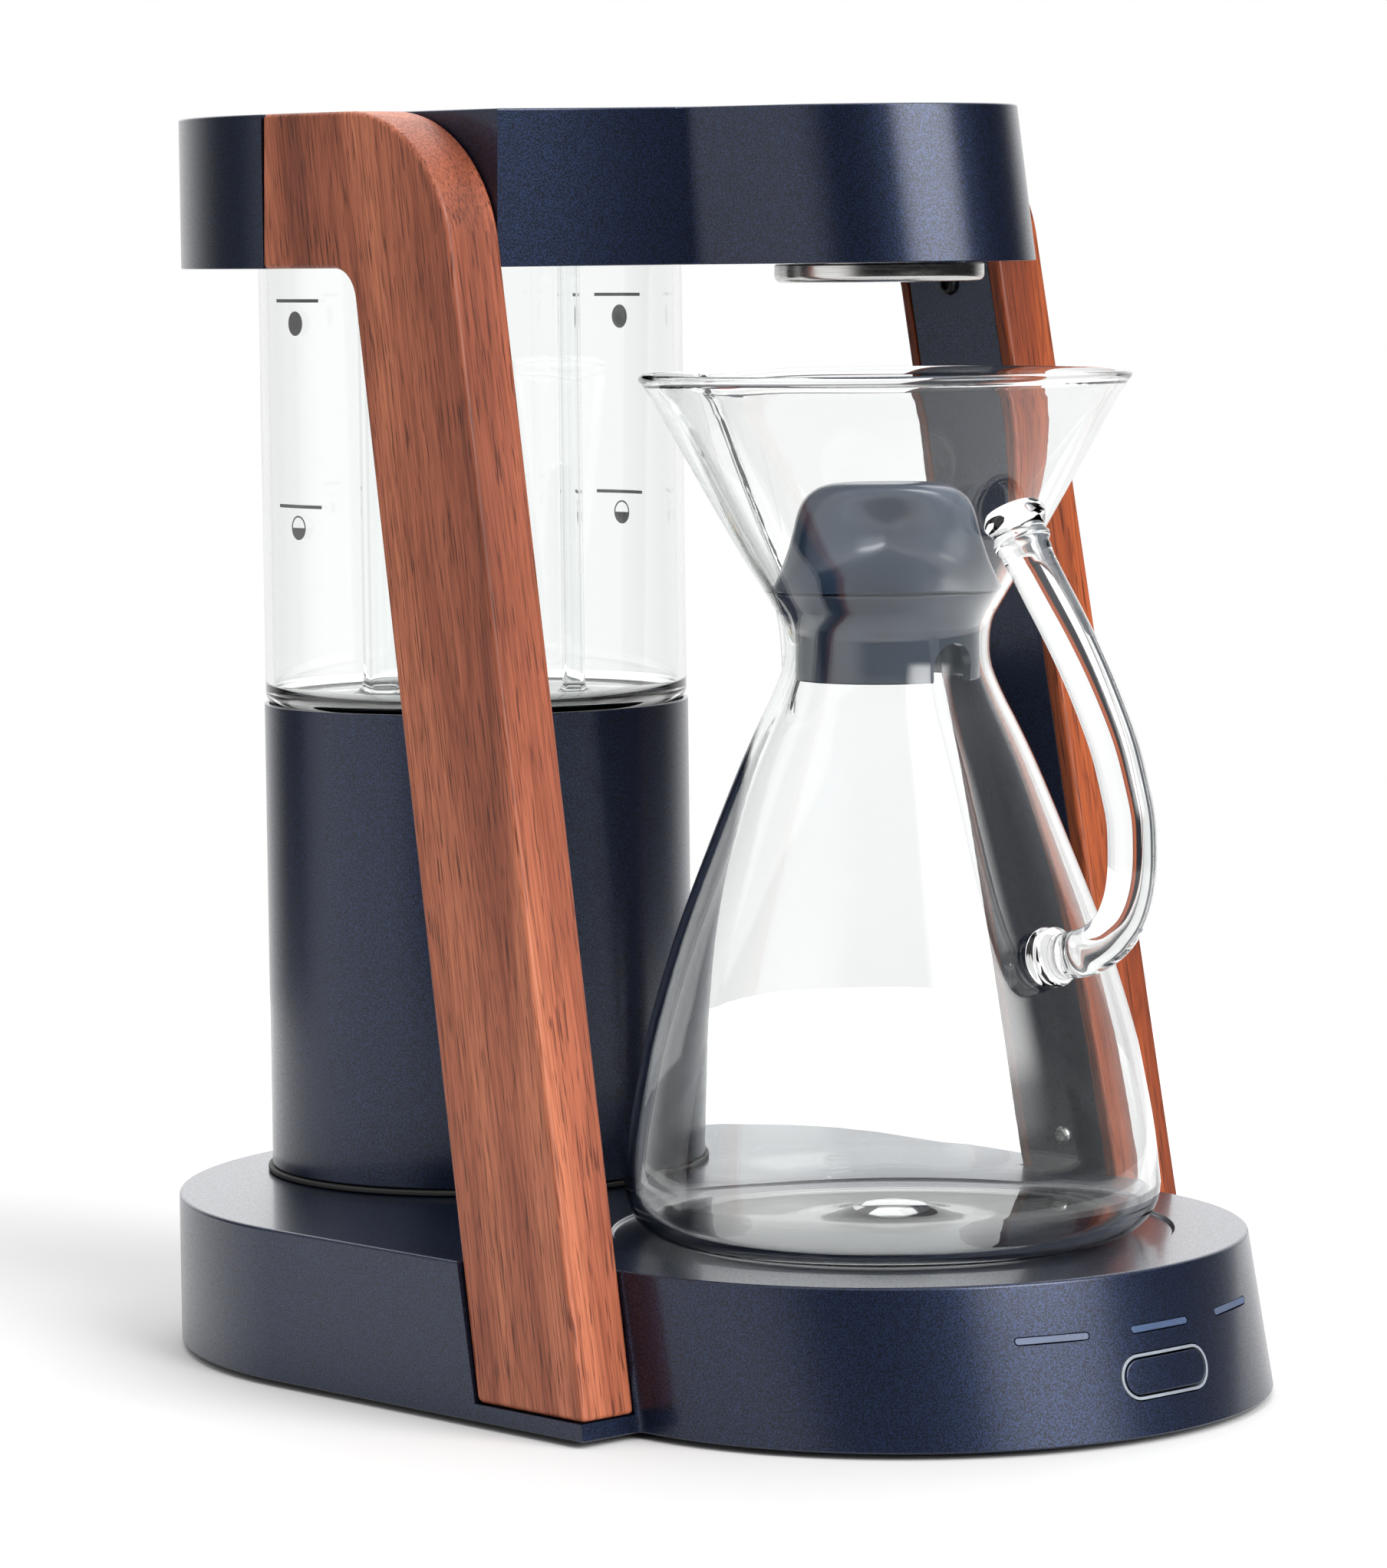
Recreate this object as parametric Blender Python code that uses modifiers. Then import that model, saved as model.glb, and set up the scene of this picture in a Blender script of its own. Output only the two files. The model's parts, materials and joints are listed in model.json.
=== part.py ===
"""Countertop coffee brewer with a glass tank, wooden arms and a glass carafe.

Sizes are in millimetres and are turned into metres as shapes are made. The origin is on the
counter under the middle of the base, the carafe side faces -Y and +Z is up.
"""

from math import atan2, cos, pi, radians, sin, sqrt

import bmesh
import bpy
from mathutils import Matrix, Vector

MM = 0.001
GAP = 0.3
ROUND = 32
TOWER_ROUND = 44
HIDDEN_ROUND = 24

# Base
BASE_TOP = 45.5
BASE_BOTTOM = 1.6
BASE_EDGE = 0.8
BASE_WALL = 3.0
BASE_CEILING = 41.5
REAR_RADIUS = 122.7
REAR_CENTRE_Y = 57.16
FRONT_RADIUS = 101.6
FRONT_CENTRE_Y = -78.74
FRONT_LEAN = 0.215
PLINTH_TOP = 6.6
RECESS_RADIUS = 79.5
RECESS_FLOOR = 44.4
PLATE_BOTTOM = 1.9
PLATE_TOP = 3.9
FOOT_RADIUS = 9.0
FOOT_PLACES = ((-66, -116), (66, -116), (-78, 128), (78, 128))
BASE_SCREW_PLACES = ((-84, -62), (84, -62), (-86, 92), (86, 92))
SCREW_BOSS_RADIUS = 5.0
SCREW_BORE = 1.7
SCREW_HEAD = 3.2
SCREW_TIP_Z = 15.0
GLAND_RADIUS = 8.0
GLAND_Z = 22.0
BOARD_THICKNESS = 1.6
BOARD_Z = 11.0
BOARD_POSTS = ((-30, 22), (30, 22), (-30, 58), (30, 58))
BOARD_POST_RADIUS = 3.0

# Tower and tank
TOWER_Y = 106.34
TOWER_RADIUS = 63.98
TOWER_WALL = 1.5
TOWER_BOTTOM = 47.6
TOWER_TOP = 187.7
TOWER_HOLE = 30.0
TANK_RADIUS = 63.6
TANK_WALL = 2.6
TANK_BOTTOM = 187.0
TANK_TOP = 326.0
TANK_CORNER = 4.0
RISER = (-20.2, 125.04)
RISER_RADIUS = 6.6
RISER_BORE = 4.0
RISER_TOP = 336.0
VENT = (21.6, 86.24)
VENT_RADIUS = 3.4
VENT_BORE = 2.3
VENT_TOP = 334.0
TUBE_BOTTOM = 170.0
OUTLET_RADIUS = 6.0
OUTLET_BOTTOM = 172.0
UPPER_SEAL = (321.75, 324.3)
CRADLE_BORE = 48.0
VALVE_BOTTOM = 140.0
BALL_RADIUS = 4.0
BALL_Z = 151.45
HOSE_RADIUS = 6.0
HOSE_WALL = 1.8

# Arms
ARM_OUTER_X = 122.26
ARM_INNER_X = 103.35
ARM_INWARD_LEAN = 0.01922
ARM_FRONT_Y = -75.75
ARM_REAR_Y = -31.86
ARM_LEAN = 0.1719
ARM_BOTTOM = 6.92
ARM_SEAM_Y = 61.7
ARM_CORNER = (24.4, 318.0, 44.0)
ARM_UNDERSIDE = 318.5
ARM_FILLET = 10.0
ARM_EDGE = 1.2
ARM_PLATE_FRONT = 5.7
ARM_PLATE_WIDTH = 34.1
ARM_PLATE_THICKNESS = 3.0
ARM_PLATE_RECESS = 0.4
ARM_PLATE_SPAN = (9.0, 338.0)
ARM_SCREW_SETBACK = 22.8
ARM_SCREW_HEIGHTS = {"lower": 58.0, "upper": 311.0}

# Top housing
HOUSING_BOTTOM = 318.45
HOUSING_TOP = 362.0
HOUSING_WALL = 2.5
HOUSING_REAR_RADIUS = 115.5
HOUSING_REAR_CENTRE_Y = 59.5
HOUSING_MIDDLE = 340.0
HOUSING_LEAN = 0.16
SHOULDER_START_Y = -17.3
SHOULDER_END = (-54.0, -43.4)
SHOULDER_BOW = 2.66
NECK_START = (-49.1, -50.6)
NECK_BOW = 0.57
NOSE_CENTRE_Y = -63.8
NOSE_RADIUS = 44.9
COVER_THICKNESS = 3.0
SHOWER_Y = -68.7
SHOWER_RADIUS = 29.4
SHOWER_BOTTOM = 313.0
SPIGOT_RADIUS = 24.0
SPIGOT_TOP = 328.0
JET_TURN = 0.13
PIPE_Z = 343.0
PIPE_RADIUS = 4.6
PIPE_WALL = 1.1
PIPE_BEND = 6.0
JET_CIRCLES = ((7.0, 3), (15.5, 7))
JET_RADIUS = 1.1
LID_RADIUS = 46.0
LID_SEAT_DEPTH = 2.5
LID_SKIRT_BOTTOM = 353.0
FILL_RADIUS = 42.0
SCOOP_SIZE = (20.0, 8.0, 3.0)
SCOOP_REACH = 30.0

# Carafe and stopper
CARAFE_Y = -70.53
CARAFE_BOTTOM = 44.7
CARAFE_RIM = 288.0
CARAFE_FLAT = 62.0
CARAFE_CORNER = 14.0
GLASS = 2.25
CARAFE_FLOOR = 4.5
CARAFE_SIDE = (
    (58.7, 76.0), (75.0, 74.2), (89.0, 71.7), (102.0, 69.0), (130.0, 60.5), (158.0, 49.8),
    (179.0, 41.3), (190.0, 36.2), (198.0, 32.3), (206.0, 29.3), (213.0, 28.9), (218.5, 29.9),
    (223.0, 32.4), (229.0, 35.9), (236.0, 40.3), (247.0, 46.6), (288.0, 69.4),
)
GROOVE_HALF_WIDTH = 10.5
GROOVE_REACH = (
    (186.0, 37.9), (200.0, 38.3), (215.0, 39.4), (223.0, 41.6), (229.0, 44.2), (236.0, 47.7),
    (247.0, 53.0), (288.0, 72.4),
)
HANDLE_RADIUS = 6.7
HANDLE_PATH = (
    (-110.0, 254.0), (-117.5, 250.5), (-124.6, 239.8), (-138.9, 219.5), (-152.5, 197.7),
    (-161.3, 176.7), (-164.2, 160.5), (-162.0, 144.2), (-152.8, 132.9), (-141.0, 128.6),
    (-128.0, 126.0),
)
GRIP_BOTTOM = 227.5
GRIP_PROFILE = (
    (0.0, 257.4), (13.0, 257.4), (17.0, 256.6), (20.5, 255.0), (23.0, 252.6), (25.3, 248.0),
    (26.3, 242.0), (28.0, 236.5), (30.5, 231.0), (31.8, 228.6), (31.8, GRIP_BOTTOM),
    (0.0, GRIP_BOTTOM),
)
GRIP_DENT = (18.0, 22.0, 17.0)
GRIP_DENT_REACH = 26.0
GRIP_DENT_Z = 243.0
GRIP_TURN = (-0.68, -0.733)
PLUG_BOTTOM = 201.5
PLUG_RADIUS = 25.9
ARCH_RADIUS = 7.0
ARCH_Z = 205.5

# Button, lamps and what is behind them
BUTTON_Y = -174.98
BUTTON_Z = 17.4
PRESS = Vector((0.0, 0.978, -0.208)).normalized()
RING_LENGTH = 34.0
RING_HEIGHT = 12.4
RING_BORE_LENGTH = 31.8
RING_BORE_HEIGHT = 10.2
RING_DEPTH = 3.6
RING_PROUD = 0.2
BUTTON_LENGTH = 31.1
BUTTON_HEIGHT = 9.5
BUTTON_PROUD = 0.3
BUTTON_DEPTH = 5.5
TRIM_REACH = 4.5
FLANGE_DEPTHS = (4.1, 6.1)
STEM_RADIUS = 2.4
STEM_DEPTHS = (5.6, 9.2)
SWITCH_SIZE = (6.0, 6.0, 3.2)
SWITCH_DEPTH = 12.7
CONTROL_BOARD = (60.0, 20.0)
CONTROL_BOARD_DEPTH = 15.4
SPRING_WIRE = 0.4
SPRING_RADIUS = 5.6
SPRING_TURNS = 3
LAMP_Z = 30.2
LAMP_LENGTH = 22.0
LAMP_HEIGHT = 1.8
LAMP_ANGLES = (-20.5, 0.0, 20.5)

HEATER_RADIUS = 38.0
HEATER_HALF_WIDTH = 12.0
HEATER_BOTTOM = 62.0
HEATER_TOP = 80.0
HEATER_SPAN = (-60, 240)
ELEMENT_RADIUS = 4.0
ELEMENT_SPAN = (-35, 215)
HARNESS_RADIUS = 2.4
LEAD_RADIUS = 3.0


def clear_scene():
    for item in list(bpy.data.objects):
        bpy.data.objects.remove(item, do_unlink=True)


def new_collection(name):
    group = bpy.data.collections.new(name)
    bpy.context.scene.collection.children.link(group)
    return group


clear_scene()
PARTS = new_collection("commercial_coffee_brewer")
GUIDES = new_collection("cutters")


# Materials


def material(name, colour, roughness, metallic=0.0, transmission=0.0):
    made = bpy.data.materials.new(name)
    made.use_nodes = True
    shader = made.node_tree.nodes["Principled BSDF"]
    shader.inputs["Base Color"].default_value = (*colour, 1.0)
    shader.inputs["Roughness"].default_value = roughness
    shader.inputs["Metallic"].default_value = metallic
    shader.inputs["Transmission Weight"].default_value = transmission
    return made


NAVY = material("navy_paint", (0.012, 0.02, 0.05), 0.3, 0.3)
WALNUT = material("walnut", (0.17, 0.06, 0.025), 0.5)
CLEAR_GLASS = material("clear_glass", (0.93, 0.97, 0.95), 0.02, 0.0, 1.0)
CHARCOAL = material("charcoal_plastic", (0.03, 0.03, 0.035), 0.45)
BLACK_RUBBER = material("black_rubber", (0.015, 0.015, 0.015), 0.8)
SILICONE = material("silicone", (0.75, 0.75, 0.73), 0.6)
STEEL = material("brushed_steel", (0.6, 0.6, 0.6), 0.3, 1.0)
BLACK_STEEL = material("black_steel", (0.03, 0.03, 0.03), 0.4, 1.0)
ALUMINIUM = material("cast_aluminium", (0.65, 0.65, 0.66), 0.45, 1.0)
BRASS = material("brass", (0.7, 0.5, 0.2), 0.35, 1.0)
CIRCUIT = material("circuit_board", (0.02, 0.16, 0.06), 0.5)
LAMP = material("lamp_lens", (0.7, 0.85, 0.98), 0.3)
SATIN_RING = material("satin_ring", (0.72, 0.76, 0.82), 0.3, 0.9)
WIRE = material("wire_sleeve", (0.05, 0.05, 0.05), 0.6)


# Shape helpers. Every helper takes millimetres.


def put(obj, look=None):
    """Link a finished shape as a part, or as a hidden cutter when it has no material."""
    if look is None:
        GUIDES.objects.link(obj)
        obj.hide_render = True
        obj.display_type = "WIRE"
        return obj
    PARTS.objects.link(obj)
    obj.data.materials.clear()
    obj.data.materials.append(look)
    return obj


def smooth(obj, angle=35):
    obj.data.shade_smooth()
    obj.data.set_sharp_from_angle(angle=radians(angle))


def object_from_bmesh(name, shape, look):
    bmesh.ops.recalc_face_normals(shape, faces=shape.faces)
    mesh = bpy.data.meshes.new(name)
    shape.to_mesh(mesh)
    shape.free()
    return put(bpy.data.objects.new(name, mesh), look)


def loft(name, rings, look=None):
    """Join rings of points with equal counts, and close the first and last ring."""
    shape = bmesh.new()
    made = [[shape.verts.new(Vector(point) * MM) for point in ring] for ring in rings]
    for low, high in zip(made, made[1:]):
        for index in range(len(low)):
            after = (index + 1) % len(low)
            shape.faces.new((low[index], low[after], high[after], high[index]))
    shape.faces.new(made[0][::-1])
    shape.faces.new(made[-1])
    obj = object_from_bmesh(name, shape, look)
    smooth(obj)
    return obj


def cylinder(name, radius, low, high, place, look=None, segments=20):
    """A vertical cylinder between two heights."""
    shape = bmesh.new()
    bmesh.ops.create_cone(
        shape, cap_ends=True, segments=segments, radius1=radius * MM, radius2=radius * MM,
        depth=(high - low) * MM,
    )
    obj = object_from_bmesh(name, shape, look)
    obj.location = Vector((place[0], place[1], (low + high) / 2)) * MM
    smooth(obj)
    return obj


def box(name, size, centre, look=None):
    shape = bmesh.new()
    bmesh.ops.create_cube(shape, size=1.0)
    bmesh.ops.scale(shape, vec=Vector(size) * MM, verts=shape.verts)
    obj = object_from_bmesh(name, shape, look)
    obj.location = Vector(centre) * MM
    return obj


def turned(name, profile, place=(0, 0), look=None, segments=ROUND):
    """Spin (radius, height) points about a vertical axis; they run down the outer side."""
    on_axis = profile[0][0] == 0
    mesh = bpy.data.meshes.new(name)
    points = [(radius * MM, 0, height * MM) for radius, height in profile]
    edges = [(index, index + 1) for index in range(len(points) - 1)]
    if not on_axis:
        edges.append((len(points) - 1, 0))
    mesh.from_pydata(points, edges, [])
    obj = put(bpy.data.objects.new(name, mesh), look)
    screw = obj.modifiers.new("Turn", "SCREW")
    screw.axis = "Z"
    screw.angle = 2 * pi
    screw.steps = segments
    screw.render_steps = segments
    screw.use_merge_vertices = True
    screw.merge_threshold = 0.00001
    obj.location = (place[0] * MM, place[1] * MM, 0)
    return obj


def ring_of(inner, outer, low, high):
    """Profile of a plain ring."""
    return [(outer, high), (outer, low), (inner, low), (inner, high)]


def mesh_from_curve(name, curve_object):
    """Swap a curve object for a mesh one with its ends welded on."""
    view = bpy.context.evaluated_depsgraph_get()
    mesh = bpy.data.meshes.new_from_object(curve_object.evaluated_get(view))
    shape = bmesh.new()
    shape.from_mesh(mesh)
    bmesh.ops.remove_doubles(shape, verts=shape.verts, dist=0.000002)
    bmesh.ops.dissolve_limit(
        shape, angle_limit=radians(0.2), verts=shape.verts, edges=shape.edges
    )
    bmesh.ops.recalc_face_normals(shape, faces=shape.faces)
    shape.to_mesh(mesh)
    shape.free()
    mesh.name = name
    made = bpy.data.objects.new(name, mesh)
    made.matrix_world = curve_object.matrix_world
    bpy.data.objects.remove(curve_object, do_unlink=True)
    return made


def outline_solid(name, outline, thickness, look=None):
    """A flat outline in local XY, extruded to its thickness about local Z."""
    curve = bpy.data.curves.new(name, "CURVE")
    curve.dimensions = "2D"
    curve.fill_mode = "BOTH"
    curve.extrude = thickness * MM / 2
    spline = curve.splines.new("POLY")
    spline.points.add(len(outline) - 1)
    for point, (across, up) in zip(spline.points, outline):
        point.co = (across * MM, up * MM, 0, 1)
    spline.use_cyclic_u = True
    guide = bpy.data.objects.new(name + "_outline", curve)
    bpy.context.scene.collection.objects.link(guide)
    return put(mesh_from_curve(name, guide), look)


def tube(name, path, radius, look, resolution=2):
    """A round bar along a list of points."""
    curve = bpy.data.curves.new(name, "CURVE")
    curve.dimensions = "3D"
    curve.bevel_depth = radius * MM
    curve.bevel_resolution = resolution
    curve.use_fill_caps = True
    spline = curve.splines.new("POLY")
    spline.points.add(len(path) - 1)
    for point, place in zip(spline.points, path):
        point.co = (*(Vector(place) * MM), 1)
    guide = bpy.data.objects.new(name + "_path", curve)
    bpy.context.scene.collection.objects.link(guide)
    obj = put(mesh_from_curve(name, guide), look)
    smooth(obj)
    return obj


def hose(name, path, radius, wall, look):
    """A hollow round tube along a list of points, open at both ends."""
    curve = bpy.data.curves.new(name, "CURVE")
    curve.dimensions = "3D"
    curve.bevel_depth = radius * MM
    curve.bevel_resolution = 1
    spline = curve.splines.new("POLY")
    spline.points.add(len(path) - 1)
    for point, place in zip(spline.points, path):
        point.co = (*(Vector(place) * MM), 1)
    guide = bpy.data.objects.new(name + "_path", curve)
    bpy.context.scene.collection.objects.link(guide)
    obj = put(mesh_from_curve(name, guide), look)
    smooth(obj)
    shell = obj.modifiers.new("Wall", "SOLIDIFY")
    shell.thickness = wall * MM
    shell.offset = -1
    shell.use_even_offset = True
    return obj


def combine(obj, tool, operation="DIFFERENCE"):
    change = obj.modifiers.new(tool.name, "BOOLEAN")
    change.operation = operation
    change.object = tool
    change.solver = "EXACT"


def rounded(obj, width, segments=2):
    bevel = obj.modifiers.new("Edge", "BEVEL")
    bevel.width = width * MM
    bevel.segments = segments
    bevel.limit_method = "ANGLE"
    bevel.angle_limit = radians(40)


def arc(centre, radius, start, end, steps):
    """Points on a circle from one angle to another, in degrees, with both ends."""
    angles = [radians(start + (end - start) * step / steps) for step in range(steps + 1)]
    return [(centre[0] + radius * cos(a), centre[1] + radius * sin(a)) for a in angles]


def bow(start, end, depth, steps):
    """A shallow circular arc between two points, bulging to the left of its direction."""
    chord = Vector(end) - Vector(start)
    half = chord.length / 2
    radius = (half * half + depth * depth) / (2 * depth)
    side = Vector((-chord.y, chord.x)).normalized()
    centre = (Vector(start) + Vector(end)) / 2 + side * (depth - radius)
    first = Vector(start) - centre
    last = Vector(end) - centre
    turn = atan2(first.x * last.y - first.y * last.x, first.dot(last))
    begin = atan2(first.y, first.x)
    angles = [begin + turn * step / steps for step in range(steps + 1)]
    return [(centre.x + radius * cos(a), centre.y + radius * sin(a)) for a in angles]


def inset(outline, amount):
    """Move each side of a counter-clockwise outline inward by an amount."""
    moved = []
    for index, point in enumerate(outline):
        here = Vector(point)
        before = (here - Vector(outline[index - 1])).normalized()
        after = (Vector(outline[(index + 1) % len(outline)]) - here).normalized()
        first = Vector((-before.y, before.x))
        second = Vector((-after.y, after.x))
        moved.append(tuple(here + (first + second) * amount / (1 + first.dot(second))))
    return moved


def at_height(outline, height):
    return [(across, back, height) for across, back in outline]


def pill(length, height, steps=8):
    """A slot outline with round ends."""
    radius = height / 2
    reach = length / 2 - radius
    return arc((reach, 0), radius, -90, 90, steps) + arc((-reach, 0), radius, 90, 270, steps)


def between(table, height):
    """Value at a height on a smooth curve through the (height, value) pairs of a table."""
    heights = [pair[0] for pair in table]
    height = min(max(height, heights[0]), heights[-1])
    spot = max(i for i in range(len(table) - 1) if heights[i] <= height)
    share = (height - heights[spot]) / (heights[spot + 1] - heights[spot])
    slopes = []
    for index in (spot, spot + 1):
        low = table[max(index - 1, 0)]
        high = table[min(index + 1, len(table) - 1)]
        slopes.append((high[1] - low[1]) / (high[0] - low[0]))
    span = heights[spot + 1] - heights[spot]
    start, end = table[spot][1], table[spot + 1][1]
    square, cube = share * share, share ** 3
    return (
        (2 * cube - 3 * square + 1) * start + (cube - 2 * square + share) * span * slopes[0]
        + (3 * square - 2 * cube) * end + (cube - square) * span * slopes[1]
    )


# Base


def front_arc_centre(height):
    return FRONT_CENTRE_Y + FRONT_LEAN * height


def base_outline(height):
    """Round rear, straight sides, a step in at the arms and a leaning round front."""
    step_y = ARM_FRONT_Y + 0.35 + ARM_LEAN * height
    rear = arc((0, REAR_CENTRE_Y), REAR_RADIUS, 0, 180, 32)
    front = arc((0, front_arc_centre(height)), FRONT_RADIUS, 180, 360, 30)
    left = [(-REAR_RADIUS, step_y), (-FRONT_RADIUS, step_y)]
    right = [(FRONT_RADIUS, step_y), (REAR_RADIUS, step_y)]
    return rear + left + front + right


def cavity_outline(height):
    """The hollow in the base, which keeps clear of the arm notches."""
    step_y = ARM_REAR_Y + ARM_LEAN * height + GAP + BASE_WALL
    rear = arc((0, REAR_CENTRE_Y), REAR_RADIUS - BASE_WALL, 0, 180, 24)
    narrow = FRONT_RADIUS - BASE_WALL
    front = arc((0, front_arc_centre(height)), narrow, 180, 360, 22)
    left = [(-(REAR_RADIUS - BASE_WALL), step_y), (-narrow, step_y)]
    right = [(narrow, step_y), (REAR_RADIUS - BASE_WALL, step_y)]
    return rear + left + front + right


def notch_cutter(side):
    """The space that an arm's foot takes out of the base."""
    rings = []
    for height in (PLINTH_TOP, BASE_TOP + 1):
        near = ARM_INNER_X - ARM_INWARD_LEAN * height - GAP
        far = REAR_RADIUS + 10
        front = ARM_FRONT_Y + ARM_LEAN * height - 20
        rear = ARM_REAR_Y + ARM_LEAN * height + GAP
        corners = [(near, front), (far, front), (far, rear), (near, rear)]
        rings.append([(side * across, back, height) for across, back in corners])
    return loft("notch_cutter", rings)


def facing_press(obj, depth=0.0):
    """Set an object that faces local +Z on the line of the button, facing out of the base."""
    obj.rotation_euler = (-PRESS).to_track_quat("Z", "Y").to_euler()
    obj.location = (Vector((0, BUTTON_Y, BUTTON_Z)) + PRESS * depth) * MM
    return obj


def press_solid(name, outline, near, far, look=None):
    """An outline extruded along the press line, between two depths behind the front face."""
    obj = outline_solid(name, outline, far - near, look)
    return facing_press(obj, (near + far) / 2)


def pill_at_button(length, height):
    """A slot outline turned so its length runs across the base in the pressed frame."""
    turn = (-PRESS).to_track_quat("Z", "Y").to_matrix()
    across = Vector((turn[0][0], turn[0][1]))
    return [
        (across.x * x - across.y * y, across.y * x + across.x * y) for x, y in pill(length, height)
    ]


def lamp_outline(angle, radius, depth, extra=0.0):
    """A short piece of the front wall in plan."""
    half = (LAMP_LENGTH / 2 + extra) / FRONT_RADIUS * 180 / pi
    centre = (0, front_arc_centre(LAMP_Z))
    outer = arc(centre, radius, 270 + angle - half, 270 + angle + half, 6)
    inner = arc(centre, radius - depth, 270 + angle + half, 270 + angle - half, 6)
    return outer + inner


def make_base():
    edge = BASE_EDGE
    rings = [at_height(base_outline(BASE_BOTTOM), BASE_BOTTOM)]
    for drop, shift in ((edge, 0.0), (edge * 0.3, edge * 0.3), (0.0, edge)):
        height = BASE_TOP - drop
        rings.append(at_height(inset(base_outline(height), shift), height))
    shell = loft("base_shell", rings, NAVY)
    low, high = BASE_BOTTOM - 1, BASE_CEILING
    hollow = [at_height(cavity_outline(z), z) for z in (low, high)]
    combine(shell, loft("base_cavity", hollow))
    for side in (-1, 1):
        combine(shell, notch_cutter(side))
    recess = cylinder(
        "recess_cutter", RECESS_RADIUS, RECESS_FLOOR, BASE_TOP + 1, (0, CARAFE_Y), None, 48
    )
    combine(shell, recess)
    place = (0, TOWER_Y)
    hole = cylinder("tower_hole_cutter", TOWER_HOLE, BASE_CEILING - 2, BASE_TOP + 1, place)
    combine(shell, hole)
    for number, spot in enumerate(BASE_SCREW_PLACES, 1):
        low, high = PLATE_TOP + GAP, BASE_CEILING + 1
        boss = cylinder(f"boss_{number}", SCREW_BOSS_RADIUS, low, high, spot, None, 16)
        combine(shell, boss, "UNION")
        bore = cylinder(f"boss_bore_{number}", SCREW_BORE, low - 1, low + 16, spot, None, 12)
        combine(shell, bore)
    slot = pill_at_button(RING_LENGTH + 2 * GAP, RING_HEIGHT + 2 * GAP)
    combine(shell, press_solid("button_slot_cutter", slot, -TRIM_REACH, 7))
    for number, angle in enumerate(LAMP_ANGLES, 1):
        outline = lamp_outline(angle, FRONT_RADIUS + 3, 3 * BASE_WALL, GAP)
        cutter = outline_solid(f"lamp_slot_{number}", outline, LAMP_HEIGHT + 2 * GAP)
        cutter.location.z = LAMP_Z * MM
        combine(shell, cutter)
    gland_hole = cylinder("gland_cutter", GLAND_RADIUS + GAP, -8, 8, (0, 0))
    gland_hole.rotation_euler.x = pi / 2
    gland_hole.location = Vector((0, REAR_CENTRE_Y + REAR_RADIUS, GLAND_Z)) * MM
    combine(shell, gland_hole)


def make_base_plate():
    rings = [at_height(inset(cavity_outline(z), GAP), z) for z in (PLATE_BOTTOM, PLATE_TOP)]
    plate = loft("base_plate", rings, BLACK_STEEL)
    for number, spot in enumerate(BASE_SCREW_PLACES, 1):
        low, high = PLATE_BOTTOM - 1, PLATE_TOP + 1
        combine(plate, cylinder(f"plate_hole_{number}", SCREW_BORE, low, high, spot, None, 12))
    for number, spot in enumerate(BOARD_POSTS, 1):
        low, high = PLATE_TOP - 1, BOARD_Z - BOARD_THICKNESS / 2 - GAP
        post = cylinder(f"board_post_{number}", BOARD_POST_RADIUS, low, high, spot, None, 12)
        combine(plate, post, "UNION")
    for number, spot in enumerate(FOOT_PLACES, 1):
        low, high = 0.0, PLATE_BOTTOM - GAP
        cylinder(f"foot_{number}", FOOT_RADIUS, low, high, spot, BLACK_RUBBER)
    for number, spot in enumerate(BASE_SCREW_PLACES, 1):
        shank = SCREW_BORE - GAP
        under = PLATE_BOTTOM - GAP
        profile = [
            (0, SCREW_TIP_Z), (shank, SCREW_TIP_Z), (shank, under), (SCREW_HEAD, under),
            (SCREW_HEAD, GAP), (0, GAP),
        ]
        turned(f"base_screw_{number}", profile, spot, STEEL, 12)


# Button and lamps


def front_skin(name, proud):
    """The space inside the base's outer surface, grown outward a little."""
    levels = (BASE_BOTTOM, BASE_TOP - 1)
    return loft(name, [at_height(inset(base_outline(z), -proud), z) for z in levels])


def make_button():
    outline = pill_at_button(RING_LENGTH, RING_HEIGHT)
    ring = press_solid("button_ring", outline, -TRIM_REACH, RING_DEPTH, SATIN_RING)
    combine(ring, front_skin("ring_surface", RING_PROUD), "INTERSECT")
    bore = pill_at_button(RING_BORE_LENGTH, RING_BORE_HEIGHT)
    combine(ring, press_solid("ring_bore_cutter", bore, -TRIM_REACH - 1, RING_DEPTH + 1))

    outline = pill_at_button(BUTTON_LENGTH, BUTTON_HEIGHT)
    button = press_solid("brew_button", outline, -TRIM_REACH, BUTTON_DEPTH, NAVY)
    combine(button, front_skin("button_surface", BUTTON_PROUD), "INTERSECT")
    outline = pill_at_button(RING_LENGTH, RING_HEIGHT)
    combine(button, press_solid("button_flange", outline, *FLANGE_DEPTHS), "UNION")
    near, far = STEM_DEPTHS
    stem = cylinder("button_stem", STEM_RADIUS, near, far, (0, 0), None, 16)
    facing_press(stem, (near + far) / 2)
    combine(button, stem, "UNION")

    facing_press(box("tact_switch", SWITCH_SIZE, (0, 0, 0), CHARCOAL), SWITCH_DEPTH)
    board = box("control_board", (*CONTROL_BOARD, BOARD_THICKNESS), (0, 0, 0), CIRCUIT)
    facing_press(board, CONTROL_BOARD_DEPTH)
    low = CONTROL_BOARD_DEPTH - BOARD_THICKNESS / 2 - GAP - SPRING_WIRE
    high = FLANGE_DEPTHS[1] + GAP + SPRING_WIRE
    steps = 12 * SPRING_TURNS
    path = []
    for step in range(steps + 1):
        angle = 2 * pi * SPRING_TURNS * step / steps
        depth = low + (high - low) * step / steps
        path.append((SPRING_RADIUS * cos(angle), SPRING_RADIUS * sin(angle), -depth))
    facing_press(tube("button_spring", path, SPRING_WIRE, STEEL, 0))


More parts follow.
